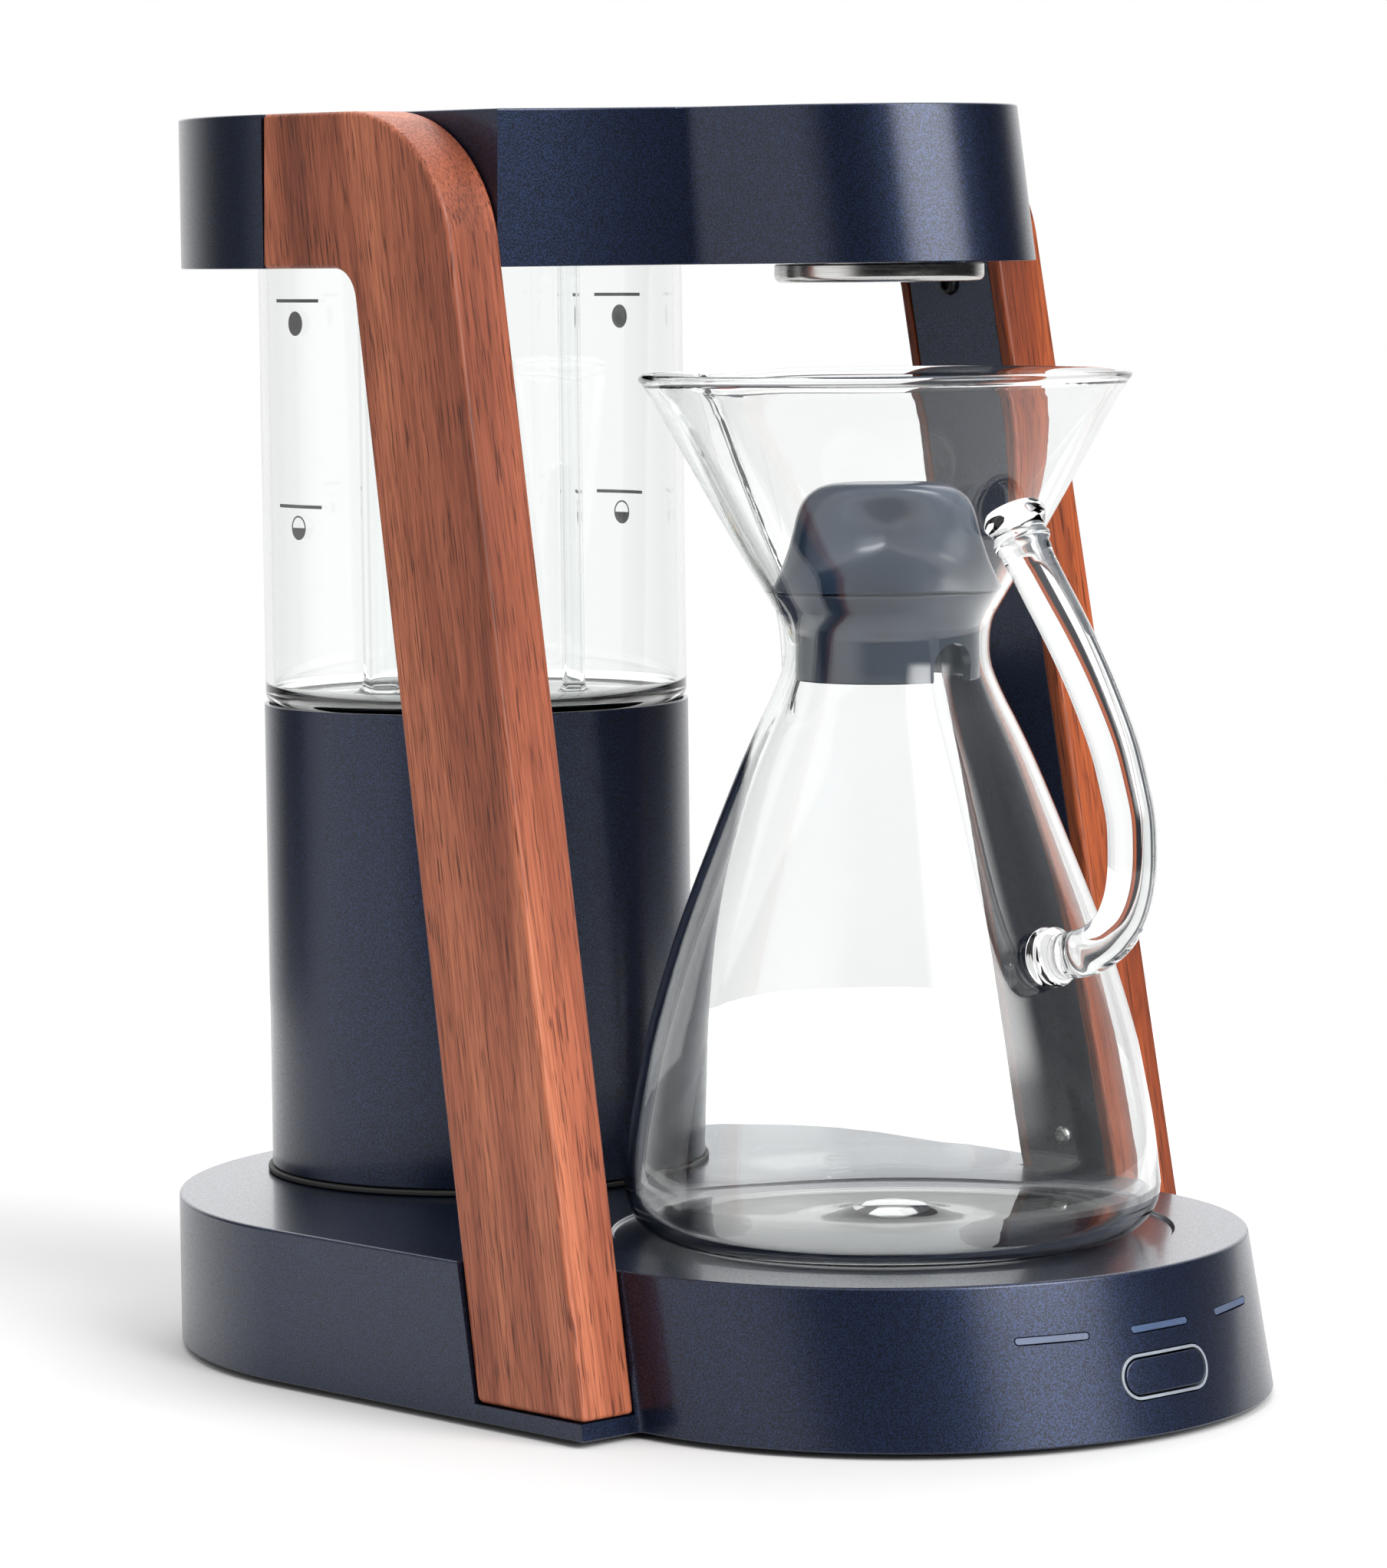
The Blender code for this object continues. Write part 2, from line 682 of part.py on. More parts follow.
def make_lamps():
    for number, angle in enumerate(LAMP_ANGLES, 1):
        outline = lamp_outline(angle, FRONT_RADIUS - 0.1, 5.0)
        bar = outline_solid(f"light_bar_{number}", outline, LAMP_HEIGHT, LAMP)
        bar.location.z = LAMP_Z * MM


# Tower and tank


def make_tower():
    place = (0, TOWER_Y)
    foot = ring_of(TOWER_RADIUS - 5, TOWER_RADIUS + 1.3, BASE_TOP + GAP, TOWER_BOTTOM - GAP)
    turned("tower_foot_ring", foot, place, BLACK_RUBBER)
    inner = TOWER_RADIUS - TOWER_WALL
    shell = ring_of(inner, TOWER_RADIUS, TOWER_BOTTOM, TOWER_TOP)
    smooth_turned("tower_shell", shell, place, NAVY, TOWER_ROUND)
    cradle_top = TANK_BOTTOM - GAP - 2.0 - GAP
    cradle = ring_of(CRADLE_BORE, inner - GAP, cradle_top - 5, cradle_top)
    turned("tank_cradle", cradle, place, BLACK_STEEL, HIDDEN_ROUND)
    seal = ring_of(CRADLE_BORE + 2, TANK_RADIUS - 5, cradle_top + GAP, TANK_BOTTOM - GAP)
    turned("tank_lower_seal", seal, place, SILICONE, HIDDEN_ROUND)
    seal = ring_of(TANK_RADIUS + 2 * GAP, TANK_RADIUS + 1.9, *UPPER_SEAL)
    turned("tank_upper_seal", seal, place, SILICONE)


def smooth_turned(name, profile, place, look, segments=ROUND):
    obj = turned(name, profile, place, look, segments)
    smooth(obj)
    return obj


def make_tank():
    place = (0, TOWER_Y)
    inner_corner = TANK_CORNER + GAP
    middle = (TANK_RADIUS - TANK_CORNER, TANK_BOTTOM + TANK_CORNER)
    outside = arc(middle, TANK_CORNER, 0, -90, 3)
    inside_radius = TANK_RADIUS - TANK_WALL
    floor = TANK_BOTTOM + TANK_WALL
    middle = (inside_radius - inner_corner, floor + inner_corner)
    inside = arc(middle, inner_corner, -90, 0, 3)
    profile = [(0, floor), *inside, (inside_radius, TANK_TOP), (TANK_RADIUS, TANK_TOP)]
    profile += [*outside, (0, TANK_BOTTOM)]
    tank = smooth_turned("tank_glass", profile, place, CLEAR_GLASS, TOWER_ROUND)
    low, high = TANK_BOTTOM - 2, floor + 2
    for name, radius, spot in (
        ("riser_hole", RISER_RADIUS + GAP, RISER),
        ("vent_hole", VENT_RADIUS + GAP, VENT),
        ("outlet_hole", OUTLET_RADIUS, place),
    ):
        combine(tank, cylinder(name, radius, low, high, spot, None, 16))
    foot = floor + GAP
    flare = RISER_RADIUS + 3.1
    riser = [
        (RISER_RADIUS, RISER_TOP), (RISER_RADIUS, foot + 4), (RISER_RADIUS + 1, foot + 1.6),
        (flare, foot + 0.8), (flare, foot), (RISER_RADIUS, foot), (RISER_RADIUS, TUBE_BOTTOM),
        (RISER_BORE, TUBE_BOTTOM), (RISER_BORE, RISER_TOP),
    ]
    smooth_turned("riser_tube", riser, RISER, CLEAR_GLASS, 16)
    flare = VENT_RADIUS + 1.8
    vent = [
        (VENT_RADIUS, VENT_TOP), (VENT_RADIUS, foot + 2.4), (VENT_RADIUS + 0.6, foot + 1.0),
        (flare, foot + 0.5), (flare, foot), (VENT_RADIUS, foot), (VENT_RADIUS, TUBE_BOTTOM),
        (VENT_BORE, TUBE_BOTTOM), (VENT_BORE, VENT_TOP),
    ]
    smooth_turned("vent_tube", vent, VENT, CLEAR_GLASS, 16)
    head, shank, bore = OUTLET_RADIUS + 3, OUTLET_RADIUS - GAP, 3.2
    fitting = [
        (head, foot + 2.5), (head, foot), (shank, foot), (shank, OUTLET_BOTTOM),
        (bore, OUTLET_BOTTOM), (bore, foot + 2.5),
    ]
    smooth_turned("outlet_fitting", fitting, place, BRASS, 16)


def make_valve():
    place = (0, TOWER_Y)
    top, low = OUTLET_BOTTOM - GAP, VALVE_BOTTOM
    chamber, seat, inlet, outlet = 5.0, low + 8, 3.0, 2.5
    body = [
        (10, top), (10, low + 3), (6, low + 2), (6, low), (outlet, low), (outlet, seat),
        (chamber, seat), (chamber, seat + 6.2), (inlet, seat + 9.2), (inlet, top),
    ]
    valve = smooth_turned("check_valve_body", body, place, BRASS, 20)
    combine(valve, box("valve_drain_slot", (9, 1.6, 3.0), (0, TOWER_Y, seat - 0.5)))
    shape = bmesh.new()
    bmesh.ops.create_uvsphere(shape, u_segments=14, v_segments=8, radius=BALL_RADIUS * MM)
    ball = object_from_bmesh("check_valve_ball", shape, STEEL)
    ball.location = Vector((0, TOWER_Y, BALL_Z)) * MM
    smooth(ball, 60)


def polar(angle, radius, height):
    """A point about the tower's axis."""
    return (radius * cos(radians(angle)), TOWER_Y + radius * sin(radians(angle)), height)


def make_heater():
    place = (0, TOWER_Y)
    low = BASE_TOP + GAP
    flange = [
        (44, HEATER_BOTTOM - GAP), (44, low + 3), (49, low + 3), (49, low), (40, low),
        (40, HEATER_BOTTOM - GAP),
    ]
    smooth_turned("heater_mount", flange, place, BLACK_STEEL, HIDDEN_ROUND)
    first, last = HEATER_SPAN
    outer = arc((0, 0), HEATER_RADIUS + HEATER_HALF_WIDTH, first, last, 30)
    inner = arc((0, 0), HEATER_RADIUS - HEATER_HALF_WIDTH, last, first, 30)
    block = outline_solid("heater_block", outer + inner, HEATER_TOP - HEATER_BOTTOM, ALUMINIUM)
    block.location = Vector((0, TOWER_Y, (HEATER_TOP + HEATER_BOTTOM) / 2)) * MM
    height = HEATER_TOP + GAP + ELEMENT_RADIUS
    first, last = ELEMENT_SPAN
    path = [polar(first + (last - first) * i / 24, HEATER_RADIUS, height) for i in range(25)]
    tube("heating_element", path, ELEMENT_RADIUS, STEEL, 1)
    box("thermostat", (14, 6.8, 14), (0, TOWER_Y + 21.2, 71), CHARCOAL)


def make_hoses():
    heater_in = Vector(polar(-52, HEATER_RADIUS, HEATER_TOP + GAP))
    valve_out = Vector((0, TOWER_Y, VALVE_BOTTOM - GAP))
    path = upright_run(heater_in, valve_out, 34)
    hose("inlet_hose", path, HOSE_RADIUS, HOSE_WALL, SILICONE)
    heater_out = Vector(polar(232, HEATER_RADIUS, HEATER_TOP + GAP))
    riser_end = Vector((*RISER, TUBE_BOTTOM - GAP))
    path = upright_run(heater_out, riser_end, 50)
    hose("outlet_hose", path, HOSE_RADIUS, HOSE_WALL, SILICONE)


def upright_run(low, high, pull, steps=8):
    """A smooth run between two points that leaves both of them straight up or down."""
    up = Vector((0, 0, 1))
    ends = (low + 4 * up, low + pull * up, high - pull * up, high - 4 * up)
    points = [low]
    for step in range(steps + 1):
        t = step / steps
        u = 1 - t
        weights = (u ** 3, 3 * u * u * t, 3 * u * t * t, t ** 3)
        points.append(sum((w * p for w, p in zip(weights, ends)), Vector()))
    return points + [high]


# Electrics


def make_electrics():
    box("power_board", (72, 48, BOARD_THICKNESS), (0, 40, BOARD_Z), CIRCUIT)
    relay = box("relay", (19, 15.5, 15.5), (-18, 42, 19.9), CHARCOAL)
    rounded(relay, 0.8, 1)
    block = box("terminal_block", (26, 12, 12), (20, 42, 18.1), SILICONE)
    rounded(block, 0.6, 1)
    path = [
        (20, 42, 24.4), (20, 42, 28), (18, 54, 33), (10, 80, 35), (2, 104, 37), (0, 116, 42),
        (0, 124, 50), (0, 127.5, 57), (0, 127.5, 63.7),
    ]
    tube("wire_harness", path, HARNESS_RADIUS, WIRE, 1)
    path = [
        (0, 167, GLAND_Z), (4, 158, 21), (18, 130, 17), (25, 100, 15.5), (24, 70, 15.5),
        (22, 48.6, 17),
    ]
    tube("mains_lead", path, LEAD_RADIUS, WIRE, 1)
    rear = REAR_CENTRE_Y + REAR_RADIUS
    flange, nut, hole = GLAND_RADIUS + 3, GLAND_RADIUS + 2.5, 4
    profile = [
        (flange, 1.0), (flange, GAP), (GLAND_RADIUS, GAP), (GLAND_RADIUS, -4), (nut, -4),
        (nut, -8), (nut - 4, -11), (hole, -11), (hole, 1.0),
    ]
    gland = smooth_turned("cord_gland", profile, (0, 0), BLACK_RUBBER, 16)
    gland.rotation_euler.x = -pi / 2
    gland.location = Vector((0, rear, GLAND_Z)) * MM


# Arms


def arm_outline():
    """Side view of an arm: y across, z up, counter-clockwise."""
    def front(height):
        return ARM_FRONT_Y + ARM_LEAN * height

    def rear(height):
        return ARM_REAR_Y + ARM_LEAN * height

    corner_y, corner_z, corner_radius = ARM_CORNER
    turn = atan2(ARM_LEAN, 1)
    tangent = 180 - turn * 180 / pi
    outline = [(front(ARM_BOTTOM), ARM_BOTTOM)]
    toe = 2.5
    outline += arc((rear(ARM_BOTTOM + toe) - toe, ARM_BOTTOM + toe), toe, -90, 0, 3)
    middle_z = ARM_UNDERSIDE - ARM_FILLET
    middle_y = rear(middle_z) + ARM_FILLET / cos(turn)
    outline += arc((middle_y, middle_z), ARM_FILLET, tangent, 90, 6)
    outline += [(ARM_SEAM_Y, ARM_UNDERSIDE), (ARM_SEAM_Y, HOUSING_TOP)]
    return outline + arc((corner_y, corner_z), corner_radius, 90, tangent, 14)


def stand_up(obj, side, outer_x, inner_x):
    """Turn a side-view outline upright at one side and lean it inward with height."""
    middle = side * (outer_x + inner_x) / 2 * MM
    upright = Matrix(((0, 0, 1, 0), (1, 0, 0, 0), (0, 1, 0, 0), (0, 0, 0, 1)))
    lean = Matrix.Identity(4)
    lean[0][2] = -side * ARM_INWARD_LEAN
    obj.data.transform(lean @ upright)
    obj.location.x = middle
    return obj


def arm_strip(margin):
    """The plate's outline in side view, grown by a margin."""
    low, high = ARM_PLATE_SPAN[0] - margin, ARM_PLATE_SPAN[1] + margin
    front = ARM_FRONT_Y + ARM_PLATE_FRONT - margin
    rear = ARM_FRONT_Y + ARM_PLATE_FRONT + ARM_PLATE_WIDTH + margin
    return [
        (front + ARM_LEAN * low, low), (rear + ARM_LEAN * low, low),
        (rear + ARM_LEAN * high, high), (front + ARM_LEAN * high, high),
    ]


def make_arms():
    for side, word in ((-1, "left"), (1, "right")):
        width = ARM_OUTER_X - ARM_INNER_X
        arm = outline_solid(f"arm_{word}", arm_outline(), width, WALNUT)
        stand_up(arm, side, ARM_OUTER_X, ARM_INNER_X)
        rounded(arm, ARM_EDGE)
        depth = ARM_PLATE_RECESS + ARM_PLATE_THICKNESS + GAP
        pocket = outline_solid(f"pocket_{word}", arm_strip(0.5), depth + 2)
        stand_up(pocket, side, ARM_INNER_X + depth, ARM_INNER_X - 2)
        combine(arm, pocket)
        plate = outline_solid(f"arm_plate_{word}", arm_strip(0), ARM_PLATE_THICKNESS, NAVY)
        near = ARM_INNER_X + ARM_PLATE_RECESS
        stand_up(plate, side, near + ARM_PLATE_THICKNESS, near)
        for level, height in ARM_SCREW_HEIGHTS.items():
            make_arm_screw(side, word, level, height, arm, plate)


def make_arm_screw(side, word, level, height, arm, plate):
    """A socket-head screw through the plate into the arm."""
    face = ARM_INNER_X + ARM_PLATE_RECESS - ARM_INWARD_LEAN * height
    place = Vector((side * face, ARM_FRONT_Y + ARM_LEAN * height + ARM_SCREW_SETBACK, height)) * MM
    head, shank, socket = 3.1, 1.6, 1.5
    top, edge, tip = 2.0, 0.7, -12.0
    profile = [
        (0, 0.5), (socket, 0.5), (socket, top), (head - edge, top), (head, top - edge),
        (head, GAP), (shank, GAP), (shank, tip), (0, tip),
    ]
    look = STEEL if level == "lower" else BLACK_STEEL
    turn = -side * pi / 2
    screw = smooth_turned(f"arm_screw_{level}_{word}", profile, (0, 0), look, 12)
    screw.rotation_euler.y = turn
    screw.location = place
    low, high = tip - 1, top + 1
    bore = cylinder(f"arm_bore_{level}_{word}", shank + GAP, low, high, (0, 0), None, 12)
    bore.data.transform(Matrix.Translation((0, 0, (low + high) / 2 * MM)))
    bore.location = place
    bore.rotation_euler.y = turn
    combine(arm, bore)
    combine(plate, bore)


# Top housing


def housing_outline(height):
    """Round rear, flat sides between the arms, concave shoulders and a round nose."""
    lean = HOUSING_LEAN * (height - HOUSING_MIDDLE)
    side = ARM_INNER_X - ARM_INWARD_LEAN * height - GAP
    shoulder = bow((-side, SHOULDER_START_Y), SHOULDER_END, SHOULDER_BOW, 7)
    neck = bow(SHOULDER_END, NECK_START, NECK_BOW, 3)
    nose = arc((0, NOSE_CENTRE_Y), NOSE_RADIUS, 188, 270, 12)
    left = [(across, along + lean) for across, along in shoulder + neck[1:] + nose]
    right = [(-across, along) for across, along in left[-2::-1]]
    seam = ARM_SEAM_Y + GAP
    turn = (seam - HOUSING_REAR_CENTRE_Y) / HOUSING_REAR_RADIUS * 180 / pi
    rear = arc((0, HOUSING_REAR_CENTRE_Y), HOUSING_REAR_RADIUS, turn, 180 - turn, 30)
    return rear + [(-side, seam)] + left + right + [(side, seam)]


def make_housing():
    levels = (HOUSING_BOTTOM, HOUSING_TOP - 0.5)
    rings = [at_height(housing_outline(z), z) for z in levels]
    rings.append(at_height(inset(housing_outline(HOUSING_TOP), 0.5), HOUSING_TOP))
    housing = loft("top_housing", rings, NAVY)
    levels = (HOUSING_BOTTOM - 1, HOUSING_TOP - HOUSING_WALL)
    rings = [at_height(inset(housing_outline(z), HOUSING_WALL), z) for z in levels]
    combine(housing, loft("housing_cavity", rings))
    place = (0, TOWER_Y)
    collar = cylinder("fill_collar", LID_RADIUS + 3, 352, HOUSING_TOP - 1, place, None, 36)
    combine(housing, collar, "UNION")
    high = HOUSING_TOP + 2
    combine(housing, cylinder("fill_cutter", FILL_RADIUS, 340, high, place, None, 36))
    lid_floor = HOUSING_TOP - LID_SEAT_DEPTH
    seat = cylinder("lid_seat_cutter", LID_RADIUS + 0.5, lid_floor, high, place, None, 36)
    combine(housing, seat)
    low, high = HOUSING_BOTTOM, HOUSING_BOTTOM + COVER_THICKNESS
    margin = HOUSING_WALL + GAP
    rings = [at_height(inset(housing_outline(z), margin), z) for z in (low, high)]
    cover = loft("housing_cover", rings, NAVY)
    tank_hole = cylinder("tank_hole_cutter", TANK_RADIUS + 0.5, low - 2, high + 2, place, None, 44)
    combine(cover, tank_hole)
    spot = (0, SHOWER_Y)
    radius = SPIGOT_RADIUS + 2 * GAP
    combine(cover, cylinder("spigot_hole", radius, low - 2, high + 2, spot, None, ROUND))


def make_lid():
    place = (0, TOWER_Y)
    low = HOUSING_TOP - LID_SEAT_DEPTH + GAP
    skirt, edge = FILL_RADIUS - 3.6, 0.4
    lid = [
        (0, HOUSING_TOP), (LID_RADIUS - edge, HOUSING_TOP), (LID_RADIUS, HOUSING_TOP - edge),
        (LID_RADIUS, low), (skirt, low), (skirt, LID_SKIRT_BOTTOM),
        (skirt - 2, LID_SKIRT_BOTTOM), (skirt - 2, low), (0, low),
    ]
    cap = smooth_turned("tank_lid", lid, place, NAVY, 36)
    for side in (-1, 1):
        spot = (0, TOWER_Y + side * SCOOP_REACH, HOUSING_TOP + GAP)
        combine(cap, box(f"lid_scoop_{side}", SCOOP_SIZE, spot))
    low = LID_SKIRT_BOTTOM + 0.4
    seal = ring_of(skirt + GAP, FILL_RADIUS - GAP, low, low + 4)
    turned("tank_lid_seal", seal, place, SILICONE, 36)


def make_shower():
    place = (0, SHOWER_Y)
    floor = SHOWER_BOTTOM + 1.5
    shoulder = HOUSING_BOTTOM - GAP
    edge, wall, inlet = 2.0, 2.0, 3.2
    bore, ceiling = SPIGOT_RADIUS - wall, SPIGOT_TOP - wall
    corner = arc((SHOWER_RADIUS - edge, SHOWER_BOTTOM + edge), edge, 0, -90, 2)
    profile = [
        (0, floor), (bore, floor), (bore, ceiling), (inlet, ceiling), (inlet, SPIGOT_TOP),
        (SPIGOT_RADIUS, SPIGOT_TOP), (SPIGOT_RADIUS, shoulder), (SHOWER_RADIUS, shoulder),
        *corner, (0, SHOWER_BOTTOM),
    ]
    head = smooth_turned("shower_head", profile, place, STEEL)
    low, high = SHOWER_BOTTOM - 1, floor + 1
    for circle, count in JET_CIRCLES:
        for number in range(count):
            angle = 2 * pi * number / count + JET_TURN
            spot = (circle * cos(angle), SHOWER_Y + circle * sin(angle))
            jet = cylinder(f"jet_{count}_{number}", JET_RADIUS, low, high, spot, None, 6)
            combine(head, jet)
    top = HOUSING_BOTTOM + COVER_THICKNESS
    gasket = ring_of(SPIGOT_RADIUS + GAP, SPIGOT_RADIUS + 4, top + GAP, top + 2.7)
    turned("shower_gasket", gasket, place, SILICONE, HIDDEN_ROUND)
    bend, low = PIPE_BEND, PIPE_Z - PIPE_BEND
    across, along = RISER
    path = [(across, along, RISER_TOP + GAP)]
    path += [(across, along - bend + bend * cos(a), low + bend * sin(a)) for a in quarter()]
    path += [(0, SHOWER_Y + 2 * bend, PIPE_Z)]
    path += [(0, SHOWER_Y + bend - bend * sin(a), low + bend * cos(a)) for a in quarter()]
    path += [(0, SHOWER_Y, SPIGOT_TOP + GAP)]
    hose("brew_pipe", path, PIPE_RADIUS, PIPE_WALL, STEEL)


def quarter(steps=4):
    """Angles through a right angle."""
    return [pi / 2 * step / steps for step in range(steps + 1)]


# Carafe


def carafe_radius(height):
    """Outer radius of the round glass, with a rounded lower corner."""
    centre = CARAFE_BOTTOM + CARAFE_CORNER
    if height < centre:
        drop = centre - height
        return CARAFE_FLAT + sqrt(max(CARAFE_CORNER ** 2 - drop ** 2, 0))
    return between(CARAFE_SIDE, height)


def groove_reach(height):
    """How far the pouring groove reaches behind the axis."""
    if height < GROOVE_REACH[0][0]:
        return 0.0
    return between(GROOVE_REACH, height)


def carafe_angles():
    """Angles from the groove's middle, closer together across the groove."""
    fine = [-24 + 4 * step for step in range(13)]
    coarse = [24 + 312 * step / 21 for step in range(1, 21)]
    return fine + coarse


def carafe_ring(height, wall):
    """The glass in plan at one height, moved inward by a wall measured square to the surface."""
    slope = (carafe_radius(height + 0.5) - carafe_radius(height - 0.5)) if height > 60 else 0.0
    radius = carafe_radius(height) - wall * sqrt(1 + slope * slope)
    half = GROOVE_HALF_WIDTH - wall
    reach = groove_reach(height)
    if reach:
        fall = groove_reach(min(height + 0.5, CARAFE_RIM)) - groove_reach(height - 0.5)
        reach -= wall * sqrt(1 + fall * fall)
    ring = []
    for degrees in carafe_angles():
        angle = radians(degrees)
        out = radius
        inside = half * half - ((reach - half) * sin(angle)) ** 2
        if reach and inside > 0 and cos(angle) > 0:
            out = max(out, (reach - half) * cos(angle) + sqrt(inside))
        ring.append((out * sin(angle), CARAFE_Y + out * cos(angle), height))
    return ring


def carafe_heights(low):
    corner = [CARAFE_BOTTOM + CARAFE_CORNER * (1 - cos(radians(a))) for a in (0, 45)]
    side = [58.7, 75, 100, 130, 158, 179, 190, 198, 206, 213, 218.5, 223, 229, 236, 247]
    return [z for z in corner + side if z > low] + [CARAFE_RIM]


def make_carafe():
    outer = [carafe_ring(z, 0.0) for z in [CARAFE_BOTTOM] + carafe_heights(CARAFE_BOTTOM + 0.1)]
    floor = CARAFE_BOTTOM + CARAFE_FLOOR
    lower = [
        [(x * 0.86, CARAFE_Y + (y - CARAFE_Y) * 0.86, floor) for x, y, _ in carafe_ring(floor, GLASS)],
        carafe_ring(floor + 5, GLASS + 0.6),
    ]
    inner = lower + [carafe_ring(z, GLASS) for z in carafe_heights(floor + 9)]
    loft("carafe_body", outer + inner[::-1], CLEAR_GLASS)
    path = [(0, along, height) for along, height in HANDLE_PATH]
    handle = tube("carafe_handle", path, HANDLE_RADIUS, CLEAR_GLASS, 2)
    outside = [carafe_ring(z, -GAP) for z in [CARAFE_BOTTOM] + carafe_heights(CARAFE_BOTTOM + 0.1)]
    glass = loft("carafe_outside", outside)
    for name, radius, place, direction in (
        ("upper_collar", 8.8, (0, -121.0, 246.5), (0, -0.62, -0.78)),
        ("lower_collar", 8.1, (0, -133.6, 127.7), (0, -0.94, 0.34)),
    ):
        collar = cylinder(name, radius, -3.4, 3.4, (0, 0), None, 20)
        collar.rotation_euler = Vector(direction).to_track_quat("Z", "Y").to_euler()
        collar.location = Vector(place) * MM
        combine(handle, collar, "UNION")
    combine(handle, glass)


def make_stopper():
    place = (0, CARAFE_Y)
    grip = smooth_turned("stopper_grip", GRIP_PROFILE, place, CHARCOAL)
    for side in (-1, 1):
        shape = bmesh.new()
        bmesh.ops.create_uvsphere(shape, u_segments=14, v_segments=8, radius=1.0)
        bmesh.ops.scale(shape, vec=Vector(GRIP_DENT) * MM, verts=shape.verts)
        scoop = object_from_bmesh(f"scoop_{side}", shape, None)
        across, along = Vector(GRIP_TURN) * side * GRIP_DENT_REACH
        scoop.rotation_euler.z = atan2(GRIP_TURN[1], GRIP_TURN[0])
        scoop.location = Vector((across, CARAFE_Y + along, GRIP_DENT_Z)) * MM
        combine(grip, scoop)
    top = GRIP_BOTTOM - GAP
    bore = PLUG_RADIUS - 2.5
    profile = [
        (0, top), (31.4, top), (29.0, top - 3.7), (PLUG_RADIUS, top - 10.5),
        (PLUG_RADIUS, PLUG_BOTTOM), (bore, PLUG_BOTTOM), (bore, 214.0), (bore + 1.1, 219.0),
        (0, 222.0),
    ]
    plug = smooth_turned("stopper_plug", profile, place, CHARCOAL)
    arch = cylinder("arch_cutter", ARCH_RADIUS, -40, 40, (0, 0), None, 24)
    arch.rotation_euler.x = pi / 2
    arch.location = Vector((0, CARAFE_Y, ARCH_Z)) * MM
    combine(plug, arch)
    slot = (2 * ARCH_RADIUS, 80, 6)
    combine(plug, box("arch_slot", slot, (0, CARAFE_Y, ARCH_Z - 3)))


make_base()
make_base_plate()
make_button()
make_lamps()
make_tower()
make_tank()
make_valve()
make_heater()
make_hoses()
make_electrics()
make_arms()
make_housing()
make_lid()
make_shower()
make_carafe()
make_stopper()
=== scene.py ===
"""Looks of the countertop coffee brewer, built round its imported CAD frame."""

import json
from math import atan2, cos, pi, radians, sin, sqrt

import bmesh
import bpy
from mathutils import Matrix, Vector


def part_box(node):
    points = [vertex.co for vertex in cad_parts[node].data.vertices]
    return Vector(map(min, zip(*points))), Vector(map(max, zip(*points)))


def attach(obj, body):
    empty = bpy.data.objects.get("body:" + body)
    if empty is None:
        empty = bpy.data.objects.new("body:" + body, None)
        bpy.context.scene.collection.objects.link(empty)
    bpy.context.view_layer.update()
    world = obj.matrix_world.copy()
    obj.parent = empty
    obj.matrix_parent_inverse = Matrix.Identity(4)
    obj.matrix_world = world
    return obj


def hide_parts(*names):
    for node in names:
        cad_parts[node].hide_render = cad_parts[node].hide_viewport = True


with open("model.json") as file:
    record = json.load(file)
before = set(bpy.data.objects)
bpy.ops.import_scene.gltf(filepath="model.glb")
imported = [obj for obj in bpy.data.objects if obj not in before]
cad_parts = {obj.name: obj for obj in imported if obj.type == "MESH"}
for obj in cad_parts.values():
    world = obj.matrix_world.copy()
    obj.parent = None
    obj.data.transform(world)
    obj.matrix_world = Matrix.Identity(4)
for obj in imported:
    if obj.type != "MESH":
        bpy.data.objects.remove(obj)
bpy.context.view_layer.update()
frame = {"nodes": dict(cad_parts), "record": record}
NODES = frame["nodes"]
MM = 0.001

# Camera: place in metres, lens and sensor in millimetres, turns in degrees
CAMERA_PLACE = (-1.21655, -1.30145, 0.32608)
CAMERA_HEADING = (0.6800, 0.7332, 0.0)
CAMERA_PITCH = 5.073
CAMERA_ROLL = -0.679
CAMERA_LENS = 141.48
CAMERA_SENSOR = 36.0

# Places taken from the frame, in millimetres


def box_mm(node):
    low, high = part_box(node)
    return Vector(low) / MM, Vector(high) / MM


TOWER_LOW, TOWER_HIGH = box_mm("tower_shell")
TANK_LOW, TANK_HIGH = box_mm("tank_glass")
CARAFE_LOW, CARAFE_HIGH = box_mm("carafe_body")
HOUSING_LOW, HOUSING_HIGH = box_mm("top_housing")
BASE_LOW, BASE_HIGH = box_mm("base_shell")
SHOWER_LOW, SHOWER_HIGH = box_mm("shower_head")
GRIP_LOW, GRIP_HIGH = box_mm("stopper_grip")
PLUG_LOW, PLUG_HIGH = box_mm("stopper_plug")
RISER_LOW, RISER_HIGH = box_mm("riser_tube")
VENT_LOW, VENT_HIGH = box_mm("vent_tube")

TOWER_Y = (TOWER_LOW.y + TOWER_HIGH.y) / 2
TOWER_RADIUS = TOWER_HIGH.x
TANK_RADIUS = TANK_HIGH.x
TANK_BOTTOM, TANK_TOP = TANK_LOW.z, TANK_HIGH.z
TANK_WALL = 2.6
CARAFE_Y = (GRIP_LOW.y + GRIP_HIGH.y) / 2
CARAFE_BOTTOM, CARAFE_RIM = CARAFE_LOW.z, CARAFE_HIGH.z
SHOWER_Y = (SHOWER_LOW.y + SHOWER_HIGH.y) / 2
SHOWER_RADIUS = SHOWER_HIGH.x
BASE_TOP, BASE_BOTTOM = BASE_HIGH.z, BASE_LOW.z
REAR_RADIUS = BASE_HIGH.x
HOUSING_BOTTOM, HOUSING_TOP = HOUSING_LOW.z, HOUSING_HIGH.z

